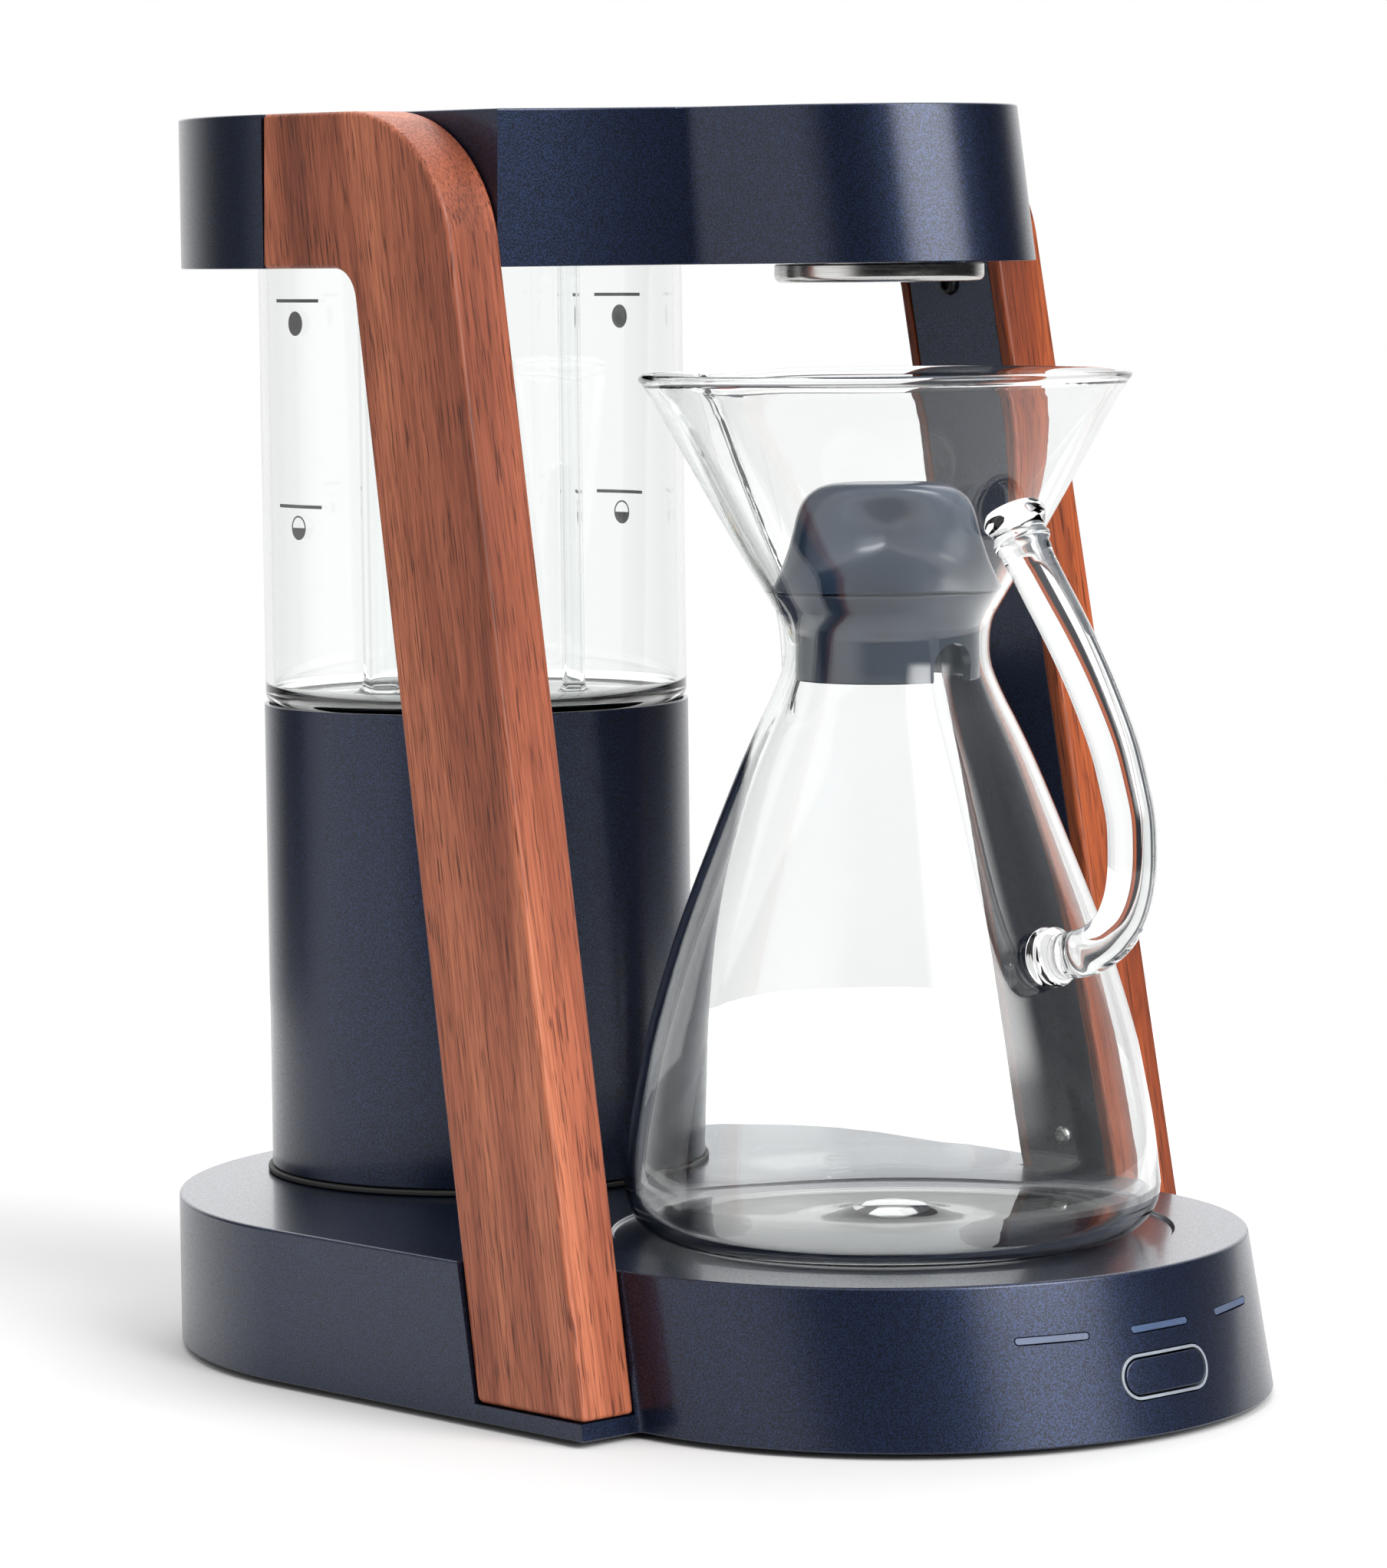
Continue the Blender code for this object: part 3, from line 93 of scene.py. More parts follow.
# Base
REAR_CENTRE_Y = 57.16
FRONT_RADIUS = 101.6
FRONT_CENTRE_Y = -78.74
FRONT_LEAN = 0.215
PLINTH_TOP = 6.6
BASE_EDGE = 0.9
RECESS_RADIUS = 79.5
RECESS_FLOOR = 44.4
RECESS_EDGE = 0.35
BASE_SOLID = 12
GLAND_Z = 22.0
PRESS = Vector((0.0, 0.978, -0.208)).normalized()
BUTTON_AT = Vector((0.0, -174.98, 17.4))
BUTTON_SLOT = (34.7, 13.1)
RING_SIZE = (34.0, 12.4)
RING_BORE = (32.3, 10.7)
BUTTON_SIZE = (31.2, 9.6)
LAMP_ANGLES = (-20.5, 0.0, 20.5)
LAMP_Z = 30.2
LAMP_LENGTH = 22.0
LAMP_HEIGHT = 1.8

# Arms
ARM_OUTER_X = 122.26
ARM_INNER_X = 103.35
ARM_INWARD_LEAN = 0.01922
ARM_FRONT_Y = -75.75
ARM_REAR_Y = -31.86
ARM_LEAN = 0.1719
ARM_BOTTOM = 6.92
ARM_SEAM_Y = 61.7
ARM_CORNER = (24.4, 318.0, 44.0)
ARM_UNDERSIDE = 318.5
ARM_FILLET = 10.0
ARM_EDGE = 1.5
ARM_PLATE_FRONT = 5.7
ARM_PLATE_WIDTH = 34.1
ARM_PLATE_SPAN = (9.0, 338.0)
GAP = 0.3

# Housing
HOUSING_REAR_RADIUS = 115.5
HOUSING_REAR_CENTRE_Y = 59.5
HOUSING_MIDDLE = 340.0
HOUSING_LEAN = 0.16
HOUSING_EDGE = 0.6
HOUSING_WALL = 2.5
SHOULDER_START_Y = -17.3
SHOULDER_END = (-54.0, -43.4)
SHOULDER_BOW = 2.66
NECK_START = (-49.1, -50.6)
NECK_BOW = 0.57
NOSE_CENTRE_Y = -63.8
NOSE_RADIUS = 44.9
LID_RADIUS = 46.0
FILL_RADIUS = 42.0
SKIRT_BOTTOM = 353.0

# Level marks on the tank: heights of the bars and of the discs under them
MARK_HALF_LENGTH = 11.0
MARK_RADIUS = 3.6
FULL_HEIGHTS = (308.7, 302.0)
HALF_HEIGHTS = (248.1, 241.8)

# Carafe
GLASS = 2.25
CARAFE_SIDE = (
    (58.7, 76.0), (75.0, 74.2), (89.0, 71.7), (102.0, 69.0), (130.0, 60.5), (158.0, 49.8),
    (179.0, 41.3), (190.0, 36.2), (198.0, 32.3), (206.0, 29.3), (213.0, 28.9), (218.5, 29.9),
    (223.0, 32.4), (229.0, 35.9), (236.0, 40.3), (247.0, 46.6), (288.0, 69.4),
)
GROOVE_REACH = (
    (176.0, 30.0), (186.0, 37.0), (194.0, 38.2), (204.0, 38.4), (215.0, 39.4), (223.0, 41.6),
    (229.0, 44.2), (236.0, 47.7), (247.0, 53.0), (288.0, 72.4),
)
GROOVE_HALF_WIDTH = 10.5
CARAFE_CORNER = 14.0
CARAFE_FLAT = 62.0
CARAFE_FLOOR = 3.0
INNER_CORNER = 11.6
HANDLE_RADIUS = 6.7
HANDLE_PATH = (
    (-119.5, 250.0), (-121.6, 246.2), (-124.6, 239.8), (-131.4, 229.8), (-138.9, 219.5),
    (-146.2, 208.6), (-152.5, 197.7), (-157.8, 187.0), (-161.3, 176.7), (-163.6, 168.2),
    (-164.2, 160.5), (-163.9, 152.0), (-162.0, 144.2), (-158.2, 137.5), (-152.8, 132.9),
    (-146.4, 130.0), (-140.0, 128.7), (-134.0, 127.6), (-130.5, 126.9),
)

# Stopper
GRIP_STEPS = 144
GRIP_TURN = atan2(-0.733, -0.68)
HOLLOW_Z = 243.0
HOLLOW_REACH = 17.5
HOLLOW_SPREAD = 80
HOLLOW_DEPTH = 0.66
ARCH_RADIUS = 7.0
ARCH_Z = 205.8


# Camera and light


def add_camera():
    data = bpy.data.cameras.new("camera")
    data.lens = CAMERA_LENS
    data.sensor_width = CAMERA_SENSOR
    camera = bpy.data.objects.new("camera", data)
    bpy.context.scene.collection.objects.link(camera)
    pitch, roll = radians(CAMERA_PITCH), radians(CAMERA_ROLL)
    ahead = Vector(CAMERA_HEADING).normalized()
    side = Vector((ahead.y, -ahead.x, 0.0))
    view = ahead * cos(pitch) - Vector((0, 0, 1)) * sin(pitch)
    upward = ahead * sin(pitch) + Vector((0, 0, 1)) * cos(pitch)
    right = side * cos(roll) + upward * sin(roll)
    up = upward * cos(roll) - side * sin(roll)
    turn = Matrix((right, up, -view)).transposed().to_4x4()
    camera.matrix_world = Matrix.Translation(CAMERA_PLACE) @ turn
    data.clip_end = 50
    bpy.context.scene.camera = camera


def add_light():
    """A studio painted on the sky: a white sweep behind, softboxes at the front and left.

    The camera sees plain white, and glass lets mostly white through.
    """
    world = bpy.data.worlds.new("studio")
    world.use_nodes = True
    bpy.context.scene.world = world
    tree = world.node_tree
    tree.nodes.clear()
    link = tree.links.new
    look = add_node(tree, "ShaderNodeTexCoord").outputs["Generated"]
    level = add_node(tree, "ShaderNodeVectorMath", [(1, (1.0, 1.0, 0.0))], operation="MULTIPLY")
    link(look, level.inputs[0])
    flat = add_node(tree, "ShaderNodeVectorMath", operation="NORMALIZE")
    link(level.outputs[0], flat.inputs[0])
    across = flat.outputs[0]
    upward = (0.0, 0.0, 1.0)
    sweep = panel(tree, across, aim(47.0), 0.55, 0.98)
    height = panel(tree, look, upward, 0.0, 0.14, 1.0, 1.65)
    front = panel(tree, across, aim(-86.0), 0.87, 0.985, 0.0, 11.0)
    front_gate = panel(tree, look, upward, 0.1, 0.34)
    front_top = panel(tree, look, upward, 0.86, 0.7)
    left = panel(tree, across, aim(160.0), 0.7, 0.97, 0.0, 1.25)
    left_top = panel(tree, look, upward, 0.7, 0.4)
    ceiling = panel(tree, look, upward, 0.35, 0.9, 0.018, 1.5)
    parts = [
        times(tree, sweep, height),
        times(tree, times(tree, front, front_gate), front_top),
        times(tree, left, left_top),
        ceiling,
    ]
    total = parts[0]
    for part in parts[1:]:
        total = times(tree, total, part, "ADD")
    white = [("Color", (1, 1, 1, 1))]
    studio = add_node(tree, "ShaderNodeBackground", white)
    link(total, studio.inputs["Strength"])
    plain = add_node(tree, "ShaderNodeBackground", white)
    path = add_node(tree, "ShaderNodeLightPath")
    through = add_node(tree, "ShaderNodeMath", [(1, 0.8)], operation="MULTIPLY")
    link(path.outputs["Is Transmission Ray"], through.inputs[0])
    mix = add_node(tree, "ShaderNodeMixShader")
    link(times(tree, path.outputs["Is Camera Ray"], through.outputs[0], "MAXIMUM"), mix.inputs[0])
    link(studio.outputs[0], mix.inputs[1])
    link(plain.outputs[0], mix.inputs[2])
    out = add_node(tree, "ShaderNodeOutputWorld")
    link(mix.outputs[0], out.inputs["Surface"])


def add_node(tree, kind, inputs=(), **values):
    made = tree.nodes.new(kind)
    for name, value in values.items():
        setattr(made, name, value)
    for socket, value in inputs:
        made.inputs[socket].default_value = value
    return made


def aim(azimuth):
    return (cos(radians(azimuth)), sin(radians(azimuth)), 0.0)


def panel(tree, direction, towards, low, high, dim=0.0, bright=1.0):
    """A soft-edged value that changes as the direction turns towards one way."""
    facing = add_node(tree, "ShaderNodeVectorMath", [(1, towards)], operation="DOT_PRODUCT")
    tree.links.new(direction, facing.inputs[0])
    spread = add_node(tree, "ShaderNodeMapRange", [
        ("From Min", low), ("From Max", high), ("To Min", dim), ("To Max", bright),
    ], interpolation_type="SMOOTHSTEP")
    tree.links.new(facing.outputs["Value"], spread.inputs["Value"])
    return spread.outputs["Result"]


def times(tree, first, second, operation="MULTIPLY"):
    made = add_node(tree, "ShaderNodeMath", operation=operation)
    tree.links.new(first, made.inputs[0])
    tree.links.new(second, made.inputs[1])
    return made.outputs[0]


def add_floor():
    """A round pale table with a faint glow at its edge."""
    bpy.ops.mesh.primitive_circle_add(vertices=128, radius=0.9, fill_type="NGON")
    floor = bpy.context.object
    floor.name = "floor"
    floor.location.z = -0.0002
    look = Look("pale_floor", (0.6, 0.6, 0.6), 0.85)
    rim = look.node("ShaderNodeVectorMath", operation="LENGTH")
    look.link(look.place(), rim.inputs[0])
    glow = look.span(rim.outputs["Value"], 0.38, 0.82, 0.0, 0.16)
    look.set("Emission Color", (1.0, 1.0, 1.0, 1.0))
    look.feed("Emission Strength", glow)
    floor.data.materials.append(look.material)


# Materials


class Look:
    """A node material with short helpers for its procedural parts."""

    def __init__(self, name, colour, roughness, metallic=0.0):
        self.material = bpy.data.materials.new(name)
        self.material.use_nodes = True
        self.tree = self.material.node_tree
        self.shader = self.tree.nodes["Principled BSDF"]
        self.set("Base Color", (*colour, 1.0))
        self.set("Roughness", roughness)
        self.set("Metallic", metallic)

    def set(self, socket, value):
        self.shader.inputs[socket].default_value = value

    def node(self, kind, inputs=(), **values):
        return add_node(self.tree, kind, inputs, **values)

    def link(self, start, end):
        self.tree.links.new(start, end)

    def feed(self, socket, value):
        self.link(value, self.shader.inputs[socket])

    def place(self, scale=(1, 1, 1), turn=(0, 0, 0), shift=(0, 0, 0), kind="POINT"):
        spot = self.node("ShaderNodeTexCoord")
        inputs = [("Scale", scale), ("Rotation", turn), ("Location", shift)]
        mapping = self.node("ShaderNodeMapping", inputs, vector_type=kind)
        self.link(spot.outputs["Object"], mapping.inputs["Vector"])
        return mapping.outputs["Vector"]

    def along_arm(self, stretch, shift):
        """Object coordinates stretched along the lean of the arms."""
        return self.place((1, 1, stretch), (-atan2(ARM_LEAN, 1), 0, 0), shift, "TEXTURE")

    def noise(self, place, scale, detail=2.0, distortion=0.0, roughness=0.5):
        made = self.node("ShaderNodeTexNoise", [
            ("Scale", scale), ("Detail", detail), ("Distortion", distortion),
            ("Roughness", roughness),
        ])
        self.link(place, made.inputs["Vector"])
        return made.outputs["Fac"]

    def ramp(self, value, stops):
        made = self.node("ShaderNodeValToRGB")
        elements = made.color_ramp.elements
        while len(elements) < len(stops):
            elements.new(0.5)
        for element, (position, colour) in zip(elements, stops):
            element.position = position
            element.color = (*colour, 1.0)
        self.link(value, made.inputs["Fac"])
        return made.outputs["Color"]

    def span(self, value, low, high, start=0.0, end=1.0):
        made = self.node("ShaderNodeMapRange", [
            ("From Min", low), ("From Max", high), ("To Min", start), ("To Max", end),
        ])
        self.link(value, made.inputs["Value"])
        return made.outputs["Result"]

    def mix(self, factor, first, second, blend="MIX"):
        made = self.node("ShaderNodeMix", data_type="RGBA", blend_type=blend)
        if isinstance(factor, float):
            made.inputs[0].default_value = factor
        else:
            self.link(factor, made.inputs[0])
        for socket, value in ((made.inputs[6], first), (made.inputs[7], second)):
            if isinstance(value, tuple):
                socket.default_value = (*value, 1.0)
            else:
                self.link(value, socket)
        return made.outputs[2]

    def bump(self, height, strength, distance):
        made = self.node("ShaderNodeBump", [("Strength", strength), ("Distance", distance)])
        self.link(height, made.inputs["Height"])
        self.feed("Normal", made.outputs["Normal"])


def navy_paint():
    """Deep navy with fine metallic flakes under a smooth clear coat."""
    look = Look("navy_paint", (0.008, 0.012, 0.026), 0.4, 0.75)
    grain = look.noise(look.place(), 2300.0, 1.0)
    flake = look.ramp(grain, [(0.4, (0.0028, 0.0048, 0.0115)), (0.64, (0.014, 0.027, 0.074))])
    look.feed("Base Color", flake)
    look.feed("Roughness", look.span(grain, 0.3, 0.7, 0.48, 0.34))
    look.bump(grain, 0.35, 0.00012)
    look.set("Coat Weight", 0.65)
    look.set("Coat Roughness", 0.16)
    look.set("Coat IOR", 1.42)
    return look.material


def walnut(name, shift, light, middle, dark):
    """Oiled walnut: grain along the arm, growth lines, fine fibres and short dark pores."""
    look = Look(name, middle, 0.42)
    broad = look.noise(look.along_arm(11.0, shift), 46.0, 2.0, 0.6, 0.5)
    tone = look.ramp(broad, [(0.26, dark), (0.44, middle), (0.64, light)])
    lines = look.node("ShaderNodeMath", [(1, 22.0)], operation="MULTIPLY")
    look.link(broad, lines.inputs[0])
    fold = look.node("ShaderNodeMath", [(1, 1.0)], operation="PINGPONG")
    look.link(lines.outputs[0], fold.inputs[0])
    growth = look.ramp(fold.outputs[0], [(0.0, (0.62, 0.52, 0.46)), (0.26, (1.0, 1.0, 1.0))])
    figured = look.mix(0.55, tone, growth, "MULTIPLY")
    fibres = look.noise(look.along_arm(60.0, shift), 1500.0, 2.0, 0.1, 0.6)
    thread = look.ramp(fibres, [(0.34, (0.68, 0.6, 0.54)), (0.62, (1.2, 1.16, 1.12))])
    fibred = look.mix(0.9, figured, thread, "MULTIPLY")
    pores = look.noise(look.along_arm(26.0, shift), 1900.0, 1.0, 0.0, 0.5)
    streak = look.ramp(pores, [(0.34, (0.24, 0.17, 0.14)), (0.41, (1.0, 1.0, 1.0))])
    look.feed("Base Color", look.mix(0.8, fibred, streak, "MULTIPLY"))
    look.feed("Roughness", look.span(fibres, 0.3, 0.7, 0.55, 0.42))
    look.bump(pores, 0.35, 0.0002)
    look.set("Coat Weight", 0.05)
    look.set("Coat Roughness", 0.3)
    look.set("Specular IOR Level", 0.3)
    return look.material


def glass(name, clearest, tinted):
    """Blown glass: a breath of tint and a very shallow waviness."""
    look = Look(name, clearest, 0.0)
    wave = look.noise(look.place(), 26.0, 1.0)
    look.feed("Base Color", look.ramp(wave, [(0.3, tinted), (0.7, clearest)]))
    look.bump(wave, 0.06, 0.0004)
    look.set("Transmission Weight", 1.0)
    look.set("IOR", 1.47)
    return look.material


def moulded(name, colour, roughness, grain=1800.0, depth=0.00008):
    """Moulded plastic or rubber with a fine grain."""
    look = Look(name, colour, roughness)
    fine = look.noise(look.place(), grain, 2.0)
    wide = look.noise(look.place(), 40.0, 2.0)
    light = tuple(min(value * 1.18, 1.0) for value in colour)
    dark = tuple(value * 0.86 for value in colour)
    look.feed("Base Color", look.ramp(wide, [(0.35, dark), (0.65, light)]))
    look.feed("Roughness", look.span(fine, 0.3, 0.7, roughness + 0.06, roughness - 0.05))
    look.bump(fine, 0.18, depth)
    return look.material


def metal(name, colour, roughness, stretch=(1, 1, 60), scale=90.0):
    """Brushed or cast metal; the stretch sets which way the lines run."""
    look = Look(name, colour, roughness, 1.0)
    lines = look.noise(look.place(stretch), scale, 3.0)
    dark = tuple(value * 0.82 for value in colour)
    look.feed("Base Color", look.ramp(lines, [(0.3, dark), (0.7, colour)]))
    look.feed("Roughness", look.span(lines, 0.3, 0.7, roughness + 0.08, roughness - 0.06))
    look.bump(lines, 0.15, 0.00006)
    return look.material


# Mesh helpers, all in millimetres


def new_object(name, shape, look, angle=30):
    bmesh.ops.remove_doubles(shape, verts=shape.verts, dist=0.000001)
    bmesh.ops.recalc_face_normals(shape, faces=shape.faces)
    mesh = bpy.data.meshes.new(name)
    shape.to_mesh(mesh)
    shape.free()
    obj = bpy.data.objects.new(name, mesh)
    bpy.context.scene.collection.objects.link(obj)
    mesh.shade_smooth()
    mesh.set_sharp_from_angle(angle=radians(angle))
    if look:
        mesh.materials.append(look)
    return obj


def loft(name, rings, look=None, caps=True, angle=30):
    shape = bmesh.new()
    made = [[shape.verts.new(Vector(point) * MM) for point in ring] for ring in rings]
    for low, high in zip(made, made[1:]):
        for index in range(len(low)):
            after = (index + 1) % len(low)
            shape.faces.new((low[index], low[after], high[after], high[index]))
    if caps:
        shape.faces.new(made[0][::-1])
        shape.faces.new(made[-1])
    return new_object(name, shape, look, angle)


def turned(name, profile, place, look=None, segments=128, angle=30):
    """Spin a profile of (radius, height) about a vertical axis; a ring closes on itself."""
    rings = []
    for radius, height in profile:
        rings.append([
            (place[0] + radius * cos(turn), place[1] + radius * sin(turn), height)
            for turn in full_turn(segments)
        ])
    closed = profile[0][0] > 0.01
    if closed:
        rings.append(rings[0])
    return loft(name, rings, look, not closed, angle)


def soft_profile(points, radius, steps=4):
    """Round the corners of a closed (radius, height) profile."""
    made = []
    for index, point in enumerate(points):
        here = Vector(point)
        before = Vector(points[index - 1]) - here
        after = Vector(points[(index + 1) % len(points)]) - here
        reach = min(radius, before.length * 0.45, after.length * 0.45)
        first = here + before.normalized() * reach
        last = here + after.normalized() * reach
        for step in range(steps + 1):
            t = step / steps
            made.append(tuple(first * (1 - t) ** 2 + here * 2 * t * (1 - t) + last * t * t))
    return made


def swept(name, path, radii, look, segments=40):
    """A round bar of changing radius along a path, capped flat at both ends."""
    points = [Vector(point) for point in path]
    rings = []
    side = Vector((1, 0, 0))
    for index, point in enumerate(points):
        before = points[max(index - 1, 0)]
        after = points[min(index + 1, len(points) - 1)]
        ahead = (after - before).normalized()
        side = (side - ahead * side.dot(ahead)).normalized()
        other = ahead.cross(side)
        rings.append([
            point + (side * cos(turn) + other * sin(turn)) * radii[index]
            for turn in full_turn(segments)
        ])
    return loft(name, rings, look, True, 50)


def smooth_path(points, parts=6):
    """A Catmull-Rom curve through the points."""
    spots = [Vector(point) for point in points]
    made = []
    for index in range(len(spots) - 1):
        a = spots[max(index - 1, 0)]
        b, c = spots[index], spots[index + 1]
        d = spots[min(index + 2, len(spots) - 1)]
        for step in range(parts):
            t = step / parts
            made.append(
                0.5 * (2 * b + (c - a) * t + (2 * a - 5 * b + 4 * c - d) * t * t
                       + (3 * b - a - 3 * c + d) * t ** 3)
            )
    return made + [spots[-1]]


def full_turn(steps):
    return [2 * pi * step / steps for step in range(steps)]


def arc(centre, radius, start, end, steps):
    angles = [radians(start + (end - start) * step / steps) for step in range(steps + 1)]
    return [(centre[0] + radius * cos(a), centre[1] + radius * sin(a)) for a in angles]


def bow(start, end, depth, steps):
    chord = Vector(end) - Vector(start)
    half = chord.length / 2
    radius = (half * half + depth * depth) / (2 * depth)
    side = Vector((-chord.y, chord.x)).normalized()
    centre = (Vector(start) + Vector(end)) / 2 + side * (depth - radius)
    first, last = Vector(start) - centre, Vector(end) - centre
    turn = atan2(first.x * last.y - first.y * last.x, first.dot(last))
    begin = atan2(first.y, first.x)
    angles = [begin + turn * step / steps for step in range(steps + 1)]
    return [(centre.x + radius * cos(a), centre.y + radius * sin(a)) for a in angles]


def inset(outline, amount):
    moved = []
    for index, point in enumerate(outline):
        here = Vector(point)
        before = (here - Vector(outline[index - 1])).normalized()
        after = (Vector(outline[(index + 1) % len(outline)]) - here).normalized()
        first, second = Vector((-before.y, before.x)), Vector((-after.y, after.x))
        moved.append(tuple(here + (first + second) * amount / (1 + first.dot(second))))
    return moved


def at_height(outline, height):
    return [(across, along, height) for across, along in outline]


def pill(length, height, steps=16):
    radius = height / 2
    reach = length / 2 - radius
    return arc((reach, 0), radius, -90, 90, steps) + arc((-reach, 0), radius, 90, 270, steps)


def prism(name, outline, near, far, look=None):
    """An outline extruded along local Z between two heights."""
    return loft(name, [at_height(outline, near), at_height(outline, far)], look)


def between(table, height):
    heights = [pair[0] for pair in table]
    height = min(max(height, heights[0]), heights[-1])
    spot = max(i for i in range(len(table) - 1) if heights[i] <= height)
    span = heights[spot + 1] - heights[spot]
    share = (height - heights[spot]) / span
    slopes = []
    for index in (spot, spot + 1):
        low, high = table[max(index - 1, 0)], table[min(index + 1, len(table) - 1)]
        slopes.append((high[1] - low[1]) / (high[0] - low[0]))
    start, end = table[spot][1], table[spot + 1][1]
    square, cube = share * share, share ** 3
    return (
        (2 * cube - 3 * square + 1) * start + (cube - 2 * square + share) * span * slopes[0]
        + (3 * square - 2 * cube) * end + (cube - square) * span * slopes[1]
    )


def combine(obj, tool, operation="DIFFERENCE"):
    """Cut or join with a tool, apply it and remove the tool."""
    change = obj.modifiers.new("cut", "BOOLEAN")
    change.operation = operation
    change.object = tool
    change.solver = "EXACT"
    apply_modifiers(obj)
    bpy.data.objects.remove(tool, do_unlink=True)


def apply_modifiers(obj):
    view = bpy.context.evaluated_depsgraph_get()
    mesh = bpy.data.meshes.new_from_object(obj.evaluated_get(view))
    old = obj.data
    obj.modifiers.clear()
    obj.data = mesh
    mesh.name = obj.name
    bpy.data.meshes.remove(old)


def bevelled(obj, width, segments=3, angle=35):
    bevel = obj.modifiers.new("edge", "BEVEL")
    bevel.width = width * MM
    bevel.segments = segments
    bevel.limit_method = "ANGLE"
    bevel.angle_limit = radians(angle)
    apply_modifiers(obj)


def even_normals(obj, angle=40):
    """Shade by the large faces, so flats stay flat beside their rounded edges."""
    obj.data.shade_smooth()
    obj.data.set_sharp_from_angle(angle=radians(angle))
    weighted = obj.modifiers.new("normals", "WEIGHTED_NORMAL")
    weighted.keep_sharp = True
    weighted.weight = 80


def show(obj, body, *nodes, slot=None):
    """The piece rides on a body and stands for CAD nodes, which it hides; the slot is not used."""
    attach(obj, body)
    if nodes:
        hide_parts(*nodes)


# Base


def front_arc_centre(height):
    return FRONT_CENTRE_Y + FRONT_LEAN * height


def base_outline(height, notched):
    """The base in plan: round rear, arm notches or the plinth under them, leaning front."""
    step_y = ARM_FRONT_Y + 0.35 + ARM_LEAN * height
    rear_y = ARM_REAR_Y + ARM_LEAN * height + GAP
    inner = ARM_INNER_X - ARM_INWARD_LEAN * height - GAP
    rear = arc((0, REAR_CENTRE_Y), REAR_RADIUS, 0, 180, 96)
    front = arc((0, front_arc_centre(height)), FRONT_RADIUS, 180, 360, 96)
    if notched:
        left = [(-REAR_RADIUS, rear_y), (-inner, rear_y), (-inner, step_y)]
    else:
        left = [(-REAR_RADIUS, rear_y), (-REAR_RADIUS, step_y), (-FRONT_RADIUS - 1.2, step_y)]
    left.append((-FRONT_RADIUS - 0.3, step_y - 0.9))
    right = [(-x, y) for x, y in left[::-1]]
    return rear + left + front + right


def make_base(paint):
    """The casing with its arm notches, carafe recess, button and lamp slots and gland hole."""
    rings = []
    for height, shift in ((BASE_BOTTOM, 0.5), (BASE_BOTTOM + 0.5, 0.0), (PLINTH_TOP, 0.0)):
        rings.append(at_height(inset(base_outline(height, False), shift), height))
    top = BASE_TOP
    for height in (PLINTH_TOP, 20.0, 32.0, top - BASE_EDGE):
        rings.append(at_height(base_outline(height, True), height))
    for step in range(1, 5):
        turn = radians(22.5 * step)
        height = top - BASE_EDGE + BASE_EDGE * sin(turn)
        shift = BASE_EDGE * (1 - cos(turn))
        rings.append(at_height(inset(base_outline(height, True), shift), height))
    base = loft("base_casing", rings, paint)
    edge = RECESS_RADIUS + RECESS_EDGE
    recess = turned("recess", [
        (0.001, RECESS_FLOOR), (RECESS_RADIUS - 0.5, RECESS_FLOOR),
        (RECESS_RADIUS, RECESS_FLOOR + 0.5), (RECESS_RADIUS, top - RECESS_EDGE), (edge, top),
        (edge, top + 2), (0.001, top + 2),
    ], (0, CARAFE_Y), None, 160)
    combine(base, recess)
    combine(base, button_prism("slot", pill(*BUTTON_SLOT), -3, 18))
    for angle in LAMP_ANGLES:
        combine(base, lamp_solid("lamp_slot", angle, FRONT_RADIUS + 3, 8, 0.3))
    hollow = [at_height(inset(base_outline(z, False), BASE_SOLID), z) for z in (0, 30)]
    combine(base, loft("hollow", hollow))
    gland = turned("gland_cut", [(0.001, -9), (8.4, -9), (8.4, 9), (0.001, 9)], (0, 0), None, 48)
    gland.data.transform(Matrix.Rotation(pi / 2, 4, "X"))
    gland.location = Vector((0, REAR_CENTRE_Y + REAR_RADIUS, GLAND_Z)) * MM
    combine(base, gland)
    even_normals(base)
    show(base, "machine", "base_shell", slot="paint")


def button_prism(name, outline, near, far, look=None):
    """A prism along the press line; depths are behind the front face."""
    obj = prism(name, outline, -far, -near, look)
    right = Vector((1, 0, 0))
    up = (-PRESS).cross(right)
    turn = Matrix((right, up, -PRESS)).transposed()
    obj.data.transform(Matrix.Translation(BUTTON_AT * MM) @ turn.to_4x4())
    return obj


def lamp_solid(name, angle, radius, depth, extra, look=None):
    """A strip of the front wall that follows its curve and lean, with round ends."""
    half = LAMP_LENGTH / 2 + extra
    tall = LAMP_HEIGHT / 2 + extra
    outline = pill(2 * half, 2 * tall, 8)
    rings = []
    for reach in (radius - depth, radius):
        ring = []
        for across, up in outline:
            height = LAMP_Z + up
            turn = radians(270 + angle) + across / FRONT_RADIUS
            middle = front_arc_centre(height)
            ring.append((reach * cos(turn), middle + reach * sin(turn), height))
        rings.append(ring)
    return loft(name, rings, look, True, 30)


def conform(obj, proud):
    """Trim a button piece to the curved front face, standing proud by an amount."""
    rings = [at_height(inset(base_outline(z, True), -proud), z) for z in (8.0, 30.0)]
    combine(obj, loft("skin", rings), "INTERSECT")


